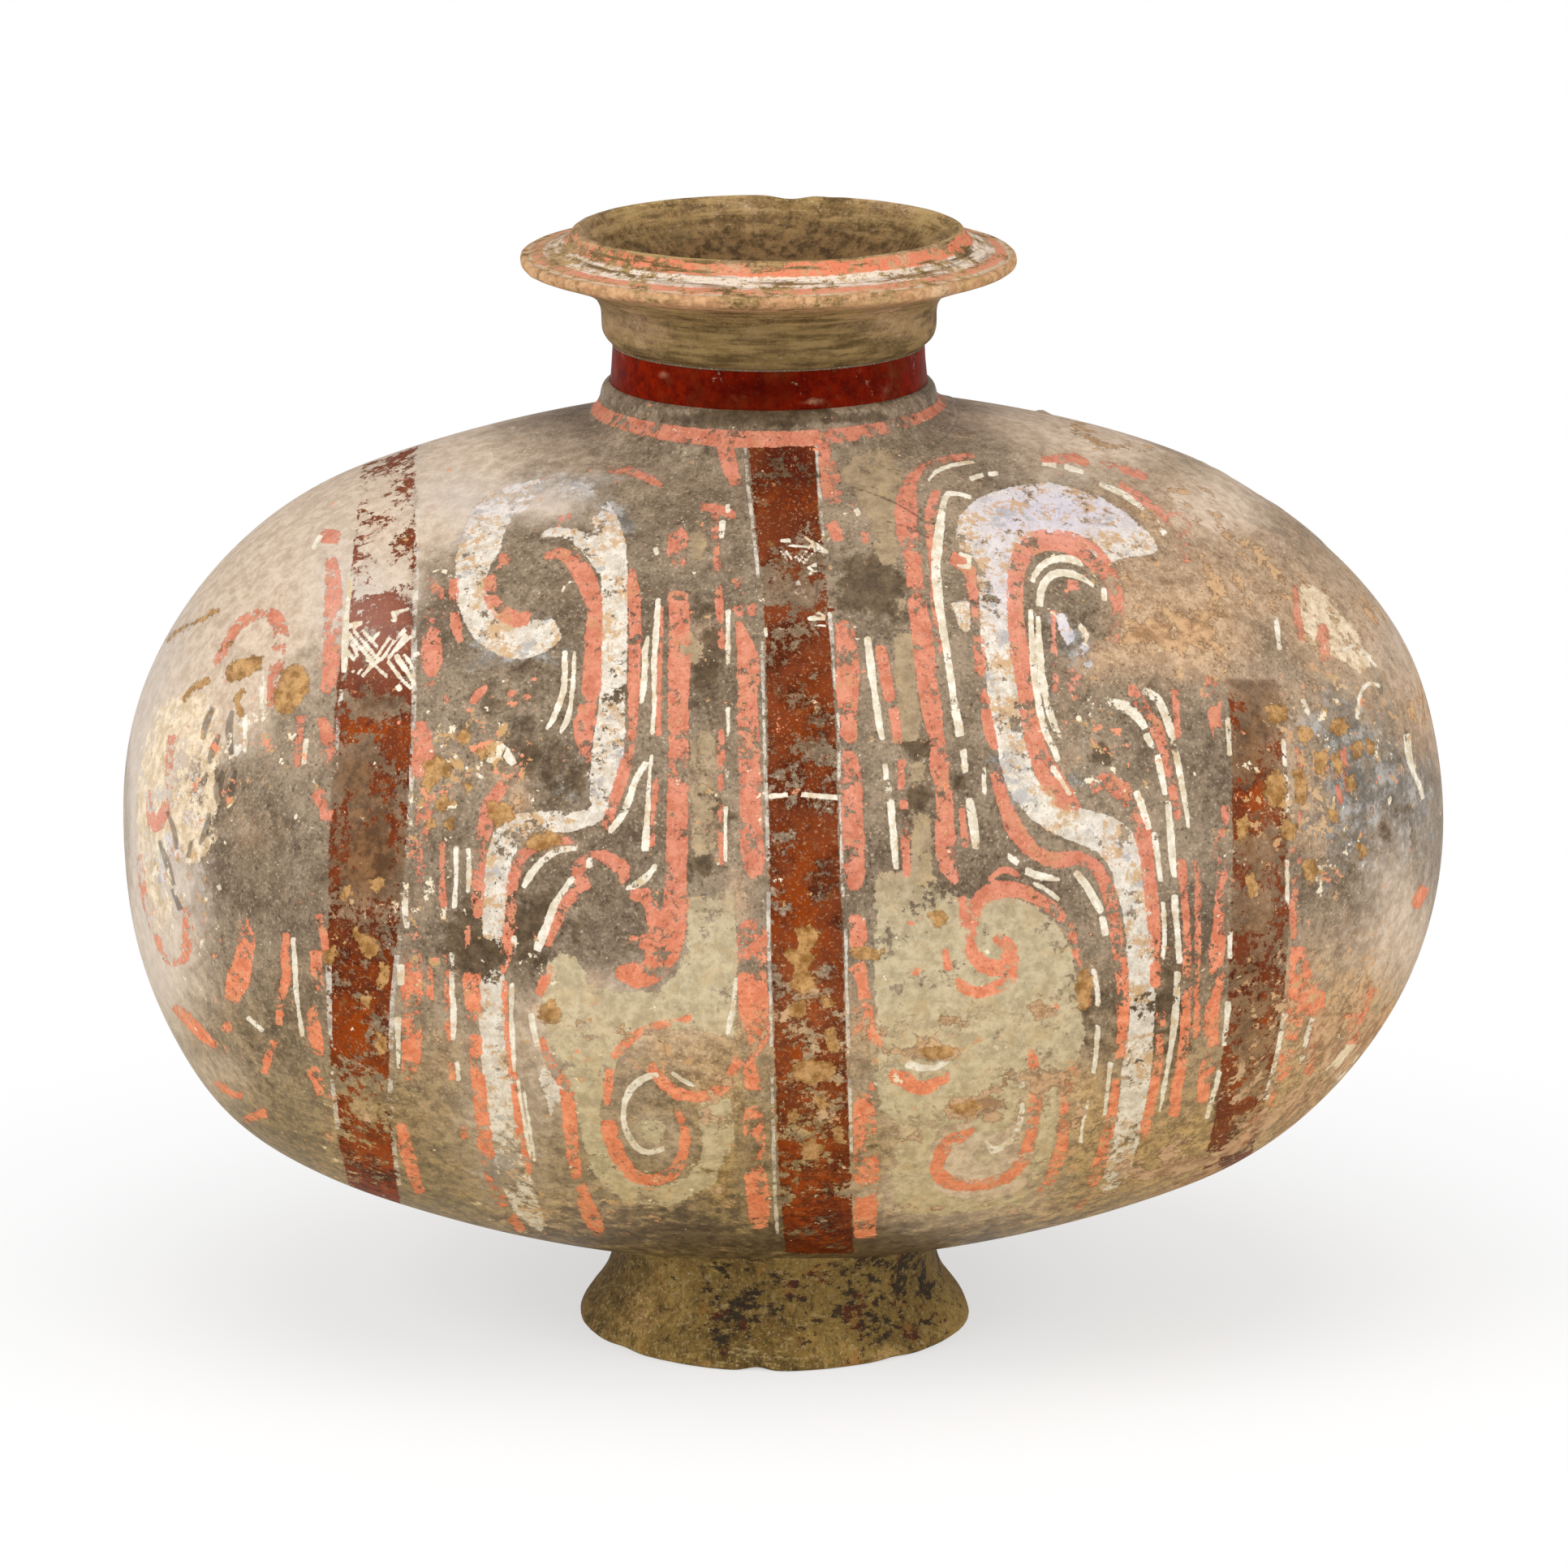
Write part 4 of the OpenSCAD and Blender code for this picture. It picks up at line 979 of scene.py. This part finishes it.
class Finish:
    def __init__(self, name):
        self.material = bpy.data.materials.new(name)
        self.material.use_nodes = True
        self.tree = self.material.node_tree
        self.surface = self.tree.nodes["Principled BSDF"]
        self.place = self.node("TexCoord").outputs["Object"]

    def node(self, kind, **inputs):
        """A new node; inputs are given by name, with _ for a space."""
        node = self.tree.nodes.new("ShaderNode" + kind)
        for name, value in inputs.items():
            self.plug(node.inputs[name.replace("_", " ")], value)
        return node

    def plug(self, socket, value):
        if isinstance(value, bpy.types.NodeSocket):
            self.tree.links.new(value, socket)
        else:
            socket.default_value = value

    def set(self, name, value):
        self.plug(self.surface.inputs[name], value)

    def math(self, operation, a, b=0.0):
        node = self.node("Math")
        node.operation = operation
        self.plug(node.inputs[0], a)
        self.plug(node.inputs[1], b)
        return node.outputs[0]

    def times(self, a, b):
        return self.math("MULTIPLY", a, b)

    def plus(self, a, b):
        return self.math("ADD", a, b)

    def minus(self, a, b):
        return self.math("SUBTRACT", a, b)

    def most(self, a, b):
        return self.math("MAXIMUM", a, b)

    def mix(self, *parts):
        """The sum of some values, each times its weight."""
        total = self.times(*parts[-1])
        for value, weight in reversed(parts[:-1]):
            total = self.plus(self.times(value, weight), total)
        return total

    def field(self, name):
        node = self.node("Attribute")
        node.attribute_name = name
        return node.outputs["Fac"]

    def split(self, vector):
        return self.node("SeparateXYZ", Vector=vector).outputs

    def cloud(self, size_mm, detail=3.0, rough=0.55, stretch=(1, 1, 1), shift=0.0):
        where = self.node("Mapping", Vector=self.place, Scale=stretch,
                          Location=(shift, shift * 0.7, shift * 1.3))
        return self.node("TexNoise", Vector=where.outputs["Vector"], Scale=1000 / size_mm,
                         Detail=detail, Roughness=rough).outputs["Fac"]

    def centred(self, *cloud, shift=0.0):
        """A noise round zero."""
        return self.plus(self.cloud(*cloud, shift=shift), -0.5)

    def wear(self, wide, narrow, shift, other):
        """Noise of two sizes that flakes the paint."""
        return self.mix((self.cloud(wide, 5, 0.62, shift=shift), 0.45),
                        (self.cloud(narrow, 6, 0.78, shift=other), 0.55))

    def step(self, value, start, end):
        node = self.node("MapRange", Value=value, From_Min=start, From_Max=end)
        node.interpolation_type = "SMOOTHSTEP"
        return node.outputs["Result"]

    def blend(self, fac, a, b, kind="MIX"):
        node = self.node("Mix")
        node.data_type = "RGBA"
        node.blend_type = kind
        for socket, value in ((0, fac), (6, a), (7, b)):
            self.plug(node.inputs[socket], value)
        return node.outputs[2]

    def tone(self, noise, start, end, dark, light):
        """Two screen colours, mixed by a noise."""
        return self.blend(self.step(noise, start, end), rgb(*dark), rgb(*light))

    def mottle(self, noise, dark, light):
        return self.tone(noise, 0.36, 0.64, dark, light)

    def touch(self, colour, *touches):
        """Lay screen colours over a colour; each has a mask and the share it covers there."""
        for mask, share, tint in touches:
            colour = self.blend(self.times(mask, share), colour, rgb(*tint))
        return colour

    def relief(self, height_mm, strength):
        bump = self.node("Bump", Strength=strength, Distance=MM, Height=height_mm)
        self.set("Normal", bump.outputs["Normal"])


# %% [markdown]
# The clay is grey brown, paler in large clouds, with fine dark and light grains and faint
# burnishing streaks that run along the jar. Soil has stained the clay under the paint, and a
# little dust and a few dry clods lie on top of it.

# %% Clay and soil
def clay_coat(f, light=(154, 135, 112), dark=(88, 73, 56)):
    """The clay's colour, and the two noises of its grain."""
    broad = f.cloud(34, 5, 0.62)
    fine = f.cloud(3.2, 6, 0.74, shift=2)
    grit = f.cloud(0.8, 3, 0.7, shift=5)
    streak = f.cloud(9, 4, 0.6, stretch=(0.16, 1, 1), shift=8)
    mottled = f.mix((broad, 0.42), (fine, 0.34), (grit, 0.14), (streak, 0.1))
    colour = f.touch(f.tone(mottled, 0.38, 0.62, dark, light),
                     (f.step(grit, 0.58, 0.70), 0.7, (192, 174, 150)),
                     (f.step(grit, 0.43, 0.30), 0.8, (56, 44, 34)))
    return colour, grit, fine


def soil_film(f, colour, grit, fine, base=0.07):
    """Stain of soil in the clay: tan above, olive ochre low down."""
    clump = f.centred(14, 8, 0.66, shift=11)
    crumb = f.cloud(4.5, 7, 0.72, shift=23)
    dark_grit = f.step(grit, 0.43, 0.31)
    amount = f.plus(f.field("soil"), base)
    ragged = f.mix((clump, 1.5), (f.plus(crumb, -0.5), 0.9))
    film = f.times(f.step(f.plus(amount, f.times(ragged, 0.6)), 0.10, 0.78), 0.78)
    low = f.step(f.split(f.place)["Z"], 0.15, 0.05)
    tan = f.tone(fine, 0.34, 0.66, (164, 130, 98), (208, 174, 140))
    tan = f.blend(low, tan, f.tone(fine, 0.38, 0.62, (128, 98, 46), (196, 160, 98)))
    tan = f.touch(tan, (f.step(grit, 0.56, 0.70), 0.7, (224, 198, 162)),
                  (dark_grit, 0.8, (116, 86, 56)))
    crust = f.step(f.plus(f.times(amount, 0.62), ragged), 0.46, 0.50)
    dry = f.tone(crumb, 0.42, 0.60, (150, 114, 80), (198, 160, 120))
    dry = f.touch(dry, (dark_grit, 0.7, (118, 84, 52)))
    return f.blend(film, colour, tan), (film, tan, crust, dry)


def soil_crust(f, colour, soil):
    """What lies on top of the paint: a thin dust and clods of dry soil."""
    film, tan, crust, dry = soil
    colour = f.blend(f.times(film, 0.1), colour, tan)
    return f.blend(f.times(crust, 0.92), colour, dry)


def pigment(f, name, edge, wear, start, soft=0.1):
    """Mask of a pigment: inside its outline and not flaked away."""
    inside = f.step(f.plus(f.field(name), edge), soft, -soft)
    limit = f.plus(f.times(f.field("loss"), 0.17), start)
    return f.times(inside, f.step(f.minus(wear, limit), -0.006, 0.010))


# %% [markdown]
# The painted body carries, from below: a pale ground wash, the maroon bands, broad white
# scroll bodies, coral scroll borders, and thin white lines. First come the noises that the
# layers share, and the clay with its cold grey, worn, stained and veiled places; part of the
# cold grey and of the veil is painted sheen, and part of the worn places is painted shade.

# %% Painted body, clay
f = Finish("painted_clay")
colour, grit, fine = clay_coat(f)
slow = f.centred(6, 4, 0.6, shift=3)
quick = f.centred(1.6, 5, 0.75, shift=6)
edge = f.mix((slow, 1.3), (quick, 2.2))
thin_edge = f.mix((slow, 0.9), (quick, 1.0))
big = f.cloud(9, 5, 0.62, shift=13)
wear_a = f.wear(9, 2.3, 13, 15)
wear_b = f.wear(10, 2.6, 17, 18)
wear_c = f.wear(8, 2.1, 19, 20)
blots = f.cloud(6.5, 6, 0.7, shift=29)
height = f.split(f.place)["Z"]
low_down = f.step(height, 0.135, 0.03)
lavender, blue, dark = f.field("lavender"), f.field("blue"), f.field("dark")

ochre = f.tone(fine, 0.38, 0.62, (102, 84, 46), (162, 137, 86))
colour = f.blend(f.times(low_down, f.plus(f.times(wear_b, 0.9), 0.2)), colour, ochre)
colour, soil = soil_film(f, colour, grit, fine)
crust = soil[2]
ragged = f.mix((f.plus(blots, -0.5), 1.5), (f.plus(wear_b, -0.5), 2.0))
# Blue grey dabs lay a cool grey over the clay: grey clay, and painted sheen on the ends and the upper
# left shoulder.
grey_clay_and_sheen = f.tone(wear_a, 0.44, 0.58, (92, 89, 83), (168, 165, 160))
colour = f.blend(f.times(f.step(f.plus(blue, ragged), 0.30, 0.72), 0.85), colour, grey_clay_and_sheen)
# Dark dabs darken the clay: worn clay, and painted shade round the neck's coil and along the underside
# of the body.
worn_and_shaded = f.tone(fine, 0.38, 0.62, (62, 48, 31), (94, 76, 54))
colour = f.blend(f.times(f.step(f.minus(dark, ragged), 0.26, 0.66), 0.85), colour, worn_and_shaded)
band = f.step(f.plus(f.field("maroon"), f.times(slow, 1.6)), 0.4, -0.6)
stain = f.tone(wear_c, 0.42, 0.58, (82, 54, 30), (128, 90, 56))
colour = f.blend(f.times(f.times(band, f.field("stain")), 0.8), colour, stain)
# Film and sheen dabs lay a pale cream over the clay: a pale film low on the body, and painted sheen on
# the ends and the upper shoulders.
veil = f.step(f.plus(f.field("veil"), f.times(ragged, 0.35)), 0.0, 0.75)
film_and_sheen_tone = f.touch(f.mottle(fine, (192, 168, 144), (222, 202, 180)), (lavender, 0.8, (208, 200, 192)))
colour = f.blend(f.times(veil, 0.8), colour, film_and_sheen_tone)

# %% [markdown]
# Each pigment has its own mottled tone and is touched with what lies in it: brown and grey
# blots, grains, and the cold lavender of the old white, which is painted sheen where it lies on
# the ends and the upper shoulders. Pale and coral are brighter low down and maroon darker:
# these tones set by height are painted light and shade.

# %% Painted body, pigments
pale = pigment(f, "pale", f.times(edge, 2.0), wear_c, 0.42)
# Pale takes a brighter tone below 12.5 to 16 cm of height: painted light.
tone = f.blend(f.step(height, 0.160, 0.125), f.mottle(fine, (142, 122, 94), (170, 148, 117)),
               f.mottle(fine, (168, 152, 120), (199, 183, 149)))
tone = f.touch(tone, (f.step(blots, 0.52, 0.66), 0.6, (188, 162, 118)))
colour = f.blend(f.times(pale, 0.88), colour, tone)

cream = pigment(f, "cream", f.times(edge, 2.2), wear_a, 0.425)
brown_blots = f.step(blots, 0.54, 0.62)
tone = f.touch(f.mottle(fine, (196, 172, 138), (232, 214, 186)), (brown_blots, 0.7, (178, 150, 112)))
colour = f.blend(f.times(cream, 0.9), colour, tone)

maroon = pigment(f, "maroon", edge, wear_a, 0.445)
speckle = f.plus(f.times(low_down, -0.35), 0.55)
# Maroon takes a darker tone low down, painted shade set by height; dark dabs darken it further, as wear
# and as painted shade.
tone = f.blend(f.times(low_down, 0.9), f.tone(big, 0.38, 0.60, (70, 28, 13), (110, 53, 28)),
               f.tone(big, 0.38, 0.60, (44, 8, 0), (96, 36, 0)))
tone = f.touch(tone, (dark, 0.75, (74, 24, 14)),
               (f.step(wear_b, 0.46, 0.55), f.plus(f.field("rust"), 0.1), (138, 58, 8)),
               (f.step(grit, 0.56, 0.68), speckle, (176, 138, 100)),
               (f.step(fine, 0.57, 0.66), f.times(speckle, 0.7), (140, 102, 62)),
               (lavender, 0.55, (170, 122, 108)))
colour = f.blend(maroon, colour, tone)

trim = pigment(f, "trim", thin_edge, wear_c, 0.455)
tone = f.tone(fine, 0.4, 0.6, (160, 148, 134), (214, 204, 190))
colour = f.blend(f.times(trim, 0.85), colour, tone)

white_mask = pigment(f, "white", f.plus(edge, -0.35), wear_b, 0.435)
grey_blots = f.step(f.plus(blots, f.times(blue, 0.1)), 0.57, 0.66)
# The lavender touch on every pigment is partly the old white turned cold and partly painted sheen on
# the ends and the upper shoulders.
tone = f.touch(f.mottle(fine, (193, 181, 163), (224, 215, 201)),
               (lavender, 0.8, (196, 190, 204)), (grey_blots, 0.65, (150, 149, 152)),
               (f.step(wear_c, 0.505, 0.55), 0.75, (190, 146, 92)),
               (f.step(grit, 0.42, 0.30), 0.7, (142, 124, 100)))
colour = f.blend(f.times(white_mask, 0.95), colour, tone)

coral_mask = pigment(f, "coral", f.plus(edge, -0.15), wear_a, 0.452)
# Coral takes a brighter tone below 10.5 to 15 cm of height: painted light.
tone = f.blend(f.step(height, 0.150, 0.105), f.mottle(fine, (185, 108, 82), (208, 136, 110)),
               f.mottle(fine, (204, 114, 78), (230, 146, 108)))
tone = f.touch(tone, (lavender, 0.45, (228, 170, 156)),
               (f.step(wear_c, 0.53, 0.58), 0.6, (190, 140, 100)),
               (f.step(grit, 0.42, 0.31), 0.8, (136, 76, 56)),
               (f.step(grit, 0.62, 0.72), 0.7, (240, 176, 152)))
colour = f.blend(f.times(coral_mask, 0.96), colour, tone)

line_mask = pigment(f, "line", thin_edge, wear_c, 0.41)
tone = f.touch(f.mottle(fine, (200, 186, 160), (232, 224, 208)), (brown_blots, 0.6, (192, 160, 112)))
colour = f.blend(f.times(line_mask, 0.95), colour, tone)

# %% [markdown]
# Cracks, loose flakes of three colours, an olive tint low down, dust and clods of soil go on
# last. Paint is rougher than burnished clay and stands a little proud of it.

# %% Painted body, what lies on top
crack = f.step(f.plus(f.field("crack"), f.times(thin_edge, 0.5)), 0.2, -0.2)
colour = f.touch(colour, (crack, 0.6, (64, 52, 42)))
flake = f.plus(f.cloud(3.4, 5, 0.7, shift=41), f.times(f.field("bits"), 0.10))
kind = f.cloud(9, 2, 0.5, shift=43)
tone = f.tone(kind, 0.44, 0.46, (222, 140, 104), (190, 150, 100))
tone = f.blend(f.step(kind, 0.53, 0.55), tone, rgb(228, 214, 186))
tone = f.touch(tone, (f.step(f.field("soil"), 0.18, 0.30), 0.85, (190, 150, 106)))
colour = f.blend(f.times(f.step(flake, 0.655, 0.675), 0.9), colour, tone)
colour = f.blend(f.times(low_down, 0.9), colour, rgb(255, 248, 220), "MULTIPLY")
colour = soil_crust(f, colour, soil)
clod = f.step(f.plus(f.field("clod"), f.times(edge, 2.2)), 0.1, -0.1)
tone = f.touch(f.mottle(fine, (134, 94, 46), (194, 150, 96)),
               (f.step(grit, 0.43, 0.31), 0.7, (112, 78, 44)))
colour = f.blend(f.times(clod, 0.94), colour, tone)
f.set("Base Color", colour)
paint = f.most(f.most(white_mask, coral_mask), f.most(line_mask, pale))
rough = f.plus(f.times(paint, 0.22), f.plus(f.times(fine, 0.22), 0.36))
f.set("Roughness", f.most(rough, f.times(crust, 0.92)))
f.set("Specular IOR Level", f.plus(f.times(maroon, -0.08), 0.10))
relief = f.mix((grit, 0.10), (fine, 0.22), (paint, 0.10))
lumps = f.times(f.most(crust, clod), f.plus(f.times(fine, 0.4), 0.15))
f.relief(f.minus(f.plus(relief, lumps), f.times(crack, 0.25)), 0.8)
painted = f.material

# %% [markdown]
# The neck is the same clay under a thick red, darker in front as painted shade. The mouth is
# painted in coral and white rings on top of its flange and is crusted with soil below; its
# collar under the flange and its throat are darkened with painted shade. The foot is bare clay,
# olive with ground-in dirt, black spots and ochre, and scratched every way, with painted shade
# along its top.

# %% Helpers for the round pieces
def from_axis(f, centre):
    """Distance from an upright axis and height, in mm."""
    shift = f.node("VectorMath")
    shift.operation = "SUBTRACT"
    f.plug(shift.inputs[0], f.place)
    f.plug(shift.inputs[1], centre)
    x, y, z = f.split(shift.outputs[0])
    far = f.math("SQRT", f.plus(f.times(x, x), f.times(y, y)))
    return f.times(far, 1000), f.times(z, 1000)


def wheel_streaks(f, far, high):
    """Noise drawn out round the axis, like marks of the wheel and of a brush held to it."""
    x, y, _ = f.split(f.place)
    where = f.node("CombineXYZ", X=f.times(far, 0.5), Y=f.times(high, 0.5),
                   Z=f.times(f.math("ARCTAN2", y, x), 3.0))
    return f.node("TexNoise", Vector=where.outputs[0], Scale=1.0, Detail=4,
                  Roughness=0.62).outputs["Fac"]


def finish_off(f, colour, grit, fine, stain, rough, shine, strength, *relief):
    """Soil on top, then gloss and relief."""
    fine_share, least = rough
    colour, soil = soil_film(f, colour, grit, fine, stain)
    f.set("Base Color", soil_crust(f, colour, soil))
    f.set("Roughness", f.plus(f.times(fine, fine_share), least))
    f.set("Specular IOR Level", shine)
    f.relief(f.mix(*relief, (soil[2], 0.4)), strength)
    return f.material


# %% Red neck
f = Finish("red_neck")
colour, grit, fine = clay_coat(f)
far, high = from_axis(f, neck_centre)
wobble = f.plus(high, f.mix((f.centred(5, 4, 0.6), 1.6), (f.centred(1.5, 4, 0.7), 1.2)))
wear = f.wear(8, 2.2, 7, 9)
kept = f.step(f.minus(wear, f.times(f.field("loss"), 0.2)), 0.37, 0.39)
band = f.times(f.times(f.step(wobble, 247.2, 247.5), f.step(wobble, 258.3, 258.0)), kept)
# Where the dark dabs lie on the neck its red turns darker in front: painted shade.
red = f.touch(f.mottle(fine, (84, 10, 0), (126, 26, 0)), (f.field("dark"), 0.8, (56, 2, 0)),
              (f.step(f.cloud(14, 4, 0.6, shift=12), 0.50, 0.66), 0.6, (88, 34, 8)),
              (f.step(grit, 0.60, 0.72), 0.5, (138, 34, 6)),
              (f.step(grit, 0.42, 0.32), 0.4, (58, 10, 0)),
              (f.step(wear, 0.55, 0.60), 0.7, (92, 40, 16)))
colour = f.touch(colour, (f.step(high, 248.0, 247.0), 0.7, (116, 94, 66)))
colour = f.blend(band, colour, red)
red_neck = finish_off(f, colour, grit, fine, 0.0, (0.25, 0.32), 0.02, 0.8, (grit, 0.10), (fine, 0.24))

# %% Soiled rim
f = Finish("soiled_rim")
colour, grit, fine = clay_coat(f, (176, 144, 92), (92, 68, 34))
far, high = from_axis(f, neck_centre)
edge = f.mix((f.centred(7, 4, 0.6), 3.4), (f.centred(1.5, 5, 0.75, shift=2), 1.8))
wear = f.wear(9, 2.4, 4, 5)
streak = wheel_streaks(f, far, high)
kept = f.times(f.step(f.minus(wear, f.times(f.field("loss"), 0.2)), 0.455, 0.475),
               f.step(streak, 0.40, 0.46))
colour = f.touch(colour, (f.step(streak, 0.50, 0.62), 0.6, (186, 156, 104)),
                 (f.step(streak, 0.46, 0.36), 0.6, (78, 60, 32)))
# Below the flange the collar takes a darker olive grey: its own colour, darkened with painted shade
# under the flange.
under = f.tone(streak, 0.42, 0.58, (74, 58, 28), (120, 99, 60))
colour = f.blend(f.times(f.step(high, 274, 268), 0.7), colour, under)
film = f.times(f.times(f.step(far, 52, 61), f.step(high, 270, 276)), f.step(wear, 0.40, 0.52))
colour = f.blend(film, colour, f.tone(fine, 0.4, 0.6, (168, 124, 86), (202, 158, 116)))
ring_place = f.plus(far, f.times(edge, 0.6))
on_top = f.times(f.step(ring_place, 48.9, 49.4), f.step(high, 279.4, 280.2))
rings = f.times(on_top, f.times(kept, f.step(ring_place, 61.8, 61.2)))
tone = f.blend(f.step(ring_place, 51.4, 51.9), rgb(220, 124, 92),
               f.tone(streak, 0.44, 0.56, (176, 158, 142), (226, 210, 192)))
tone = f.blend(f.step(ring_place, 56.8, 57.2), tone, rgb(212, 134, 106))
tone = f.blend(f.step(ring_place, 59.8, 60.2), tone, rgb(196, 178, 152))
tone = f.touch(tone, (f.step(grit, 0.44, 0.32), 0.8, (132, 98, 74)),
               (f.step(fine, 0.52, 0.62), 0.75, (184, 152, 116)))
colour = f.blend(f.times(rings, 0.92), colour, tone)
# Inside the mouth the throat is darkened: painted shade in its hollow.
inside = f.step(f.minus(far, f.times(f.plus(high, -269), 0.78)), 38.5, 36.5)
painted_throat_shade = f.times(f.times(inside, f.step(high, 268.0, 268.6)), f.step(high, 288, 274))
tone = f.tone(fine, 0.4, 0.6, (62, 43, 21), (118, 89, 55))
colour = f.blend(f.times(painted_throat_shade, 0.92), colour, tone)
# Dark dabs reach the foot of the collar and darken it further: painted shade.
colour = f.touch(colour, (f.field("dark"), f.step(wear, 0.56, 0.46), (66, 52, 30)))
rim_finish = finish_off(f, colour, grit, fine, 0.1, (0.2, 0.66), 0.16, 0.85, (grit, 0.16), (fine, 0.36))

# %% Bare foot and raw clay
f = Finish("bare_foot")
colour, grit, fine = clay_coat(f, (160, 130, 68), (78, 58, 22))
hair_a = f.cloud(1.9, 5, 0.7, stretch=(0.3, 1, 1.2), shift=9)
hair_b = f.cloud(2.1, 5, 0.7, stretch=(1.2, 1, 0.3), shift=14)
spots = f.mix((f.cloud(9, 5, 0.62, shift=21), 0.4),
              (f.cloud(2.2, 6, 0.76, stretch=(0.7, 0.7, 1.2), shift=22), 0.6))
rusty = f.cloud(8, 6, 0.68, shift=25)
# Dark dabs mark the foot's black spots, and along its top they are painted shade under the body.
colour = f.touch(colour, (f.step(hair_a, 0.56, 0.66), 0.7, (178, 156, 104)),
                 (f.step(hair_b, 0.57, 0.67), 0.6, (172, 148, 96)),
                 (f.step(hair_b, 0.43, 0.34), 0.7, (62, 48, 24)),
                 (f.step(rusty, 0.56, 0.68), 0.7, (156, 106, 50)),
                 (f.field("dark"), 0.3, (62, 44, 16)))
dirt = f.step(f.plus(spots, f.times(f.field("dark"), 0.085)), 0.595, 0.62)
colour = f.blend(f.times(dirt, 0.9), colour, f.tone(rusty, 0.5, 0.6, (36, 28, 22), (74, 26, 18)))
foot_finish = finish_off(f, colour, grit, fine, 0.0, (0.2, 0.62), 0.16, 0.9,
                         (grit, 0.18), (hair_a, 0.35), (hair_b, 0.35))

f = Finish("raw_clay")
colour, grit, fine = clay_coat(f, (112, 92, 64), (70, 55, 34))
f.set("Base Color", colour)
f.set("Roughness", f.plus(f.times(fine, 0.2), 0.7))
f.relief(f.mix((grit, 0.1), (fine, 0.2)), 0.7)
raw_clay = f.material

# %% [markdown]
# ## Hand over the pieces
# Each new piece rides on the one body and takes the place of its CAD node. The slips and the
# inner coil stay as CAD pieces, because only their edges ever show.

# %% Pieces and their nodes
handed = ((left_bowl, "left_body_half", "painted_clay", painted),
          (right_bowl, "right_body_half", "painted_clay", painted),
          (coil, "neck_joint_coil", "coral_coil", painted),
          (neck, "neck_collar", "red_neck", red_neck),
          (mouth, "mouth_rim", "soiled_rim", rim_finish),
          (foot, "foot_ring", "bare_foot", foot_finish))
for piece, node, slot, finish in handed:
    piece.data.materials.clear()
    piece.data.materials.append(finish)
    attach(piece, "root")
    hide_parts(node)
hidden = ("body_seam_slip", "neck_seam_slip", "mouth_seam_slip", "foot_seam_slip", "body_seam_coil")
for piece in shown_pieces():
    if piece.name.startswith(hidden):
        piece.data.materials.clear()
        piece.data.materials.append(raw_clay)
print("handed over", [p.name for p, *_ in handed])

# %% [markdown]
# ## Studio
# A plain pale floor keeps the jar's soft shadow and fades to the white of the room. Soft
# lamps stand on both sides, above and in front, so that the burnished ends of the jar catch
# a pale sheen and its underside isn't lost.

# %% Floor
white, shadow_near, shadow_far, least_white = (1, 1, 1, 1), 0.10, 0.34, 0.58
bpy.ops.object.select_all(action="DESELECT")
bpy.ops.mesh.primitive_plane_add(size=8.0, location=(0, 0, 0))
floor = bpy.context.object
floor.name = "studio_floor"
paper = Finish("studio_paper")
paper.set("Base Color", (0.9, 0.9, 0.9, 1))
paper.set("Roughness", 0.9)
glow, seen, mixed, span = (paper.tree.nodes.new("ShaderNode" + kind)
                           for kind in ("Emission", "LightPath", "MixShader", "VectorMath"))
span.operation = "LENGTH"
paper.plug(span.inputs[0], paper.place)
fade = paper.step(span.outputs["Value"], shadow_near, shadow_far)
white_share = paper.plus(paper.times(fade, 1 - least_white), least_white)
looked_at = paper.math("MAXIMUM", seen.outputs["Is Camera Ray"], seen.outputs["Is Glossy Ray"])
paper.plug(mixed.inputs[0], paper.times(white_share, looked_at))
paper.plug(mixed.inputs[1], paper.surface.outputs[0])
paper.plug(mixed.inputs[2], glow.outputs[0])
paper.plug(paper.tree.nodes["Material Output"].inputs["Surface"], mixed.outputs[0])
floor.data.materials.append(paper.material)


# %% Lamps and room
target = Vector((0, 0, 0.13))


def soft_lamp(name, place, size, power):
    bpy.ops.object.light_add(type="AREA", location=place)
    lamp = bpy.context.object
    lamp.name = name
    lamp.data.shape = "DISK"
    lamp.data.size = size
    lamp.data.energy = power
    lamp.rotation_euler = (target - Vector(place)).to_track_quat("-Z", "Y").to_euler()
    return lamp


lamps = [soft_lamp("left_softbox", (-1.3, -0.9, 1.0), 1.1, 18.5),
         soft_lamp("right_softbox", (1.4, -0.7, 0.8), 1.1, 14.5),
         soft_lamp("top_softbox", (0, -0.5, 1.7), 1.4, 9),
         soft_lamp("front_softbox", (0, -1.9, 0.22), 1.1, 5)]

world = bpy.data.worlds.new("white_room")
bpy.context.scene.world = world
world.use_nodes = True
tree = world.node_tree
tree.nodes.clear()
path, room, backdrop, choose, straight, out = (
    tree.nodes.new("ShaderNode" + kind)
    for kind in ("LightPath", "Background", "Background", "MixShader", "Math", "OutputWorld"))
for sky, strength in ((room, 0.42), (backdrop, 1.0)):
    sky.inputs["Color"].default_value = white
    sky.inputs["Strength"].default_value = strength
straight.operation = "MAXIMUM"
tree.links.new(path.outputs["Is Camera Ray"], straight.inputs[0])
tree.links.new(path.outputs["Is Transmission Ray"], straight.inputs[1])
tree.links.new(straight.outputs[0], choose.inputs["Fac"])
tree.links.new(room.outputs["Background"], choose.inputs[1])
tree.links.new(backdrop.outputs["Background"], choose.inputs[2])
tree.links.new(choose.outputs["Shader"], out.inputs["Surface"])

# %% Camera
sensor = 36.0
bpy.ops.object.camera_add(location=eye, rotation=(math.pi / 2 - eye_pitch, 0, 0))
camera = bpy.context.object
camera.data.sensor_width = sensor
camera.data.lens = focal_px / photo_side * sensor
camera.data.clip_end = 50
bpy.context.scene.camera = camera
bpy.context.scene.view_settings.view_transform = "Standard"
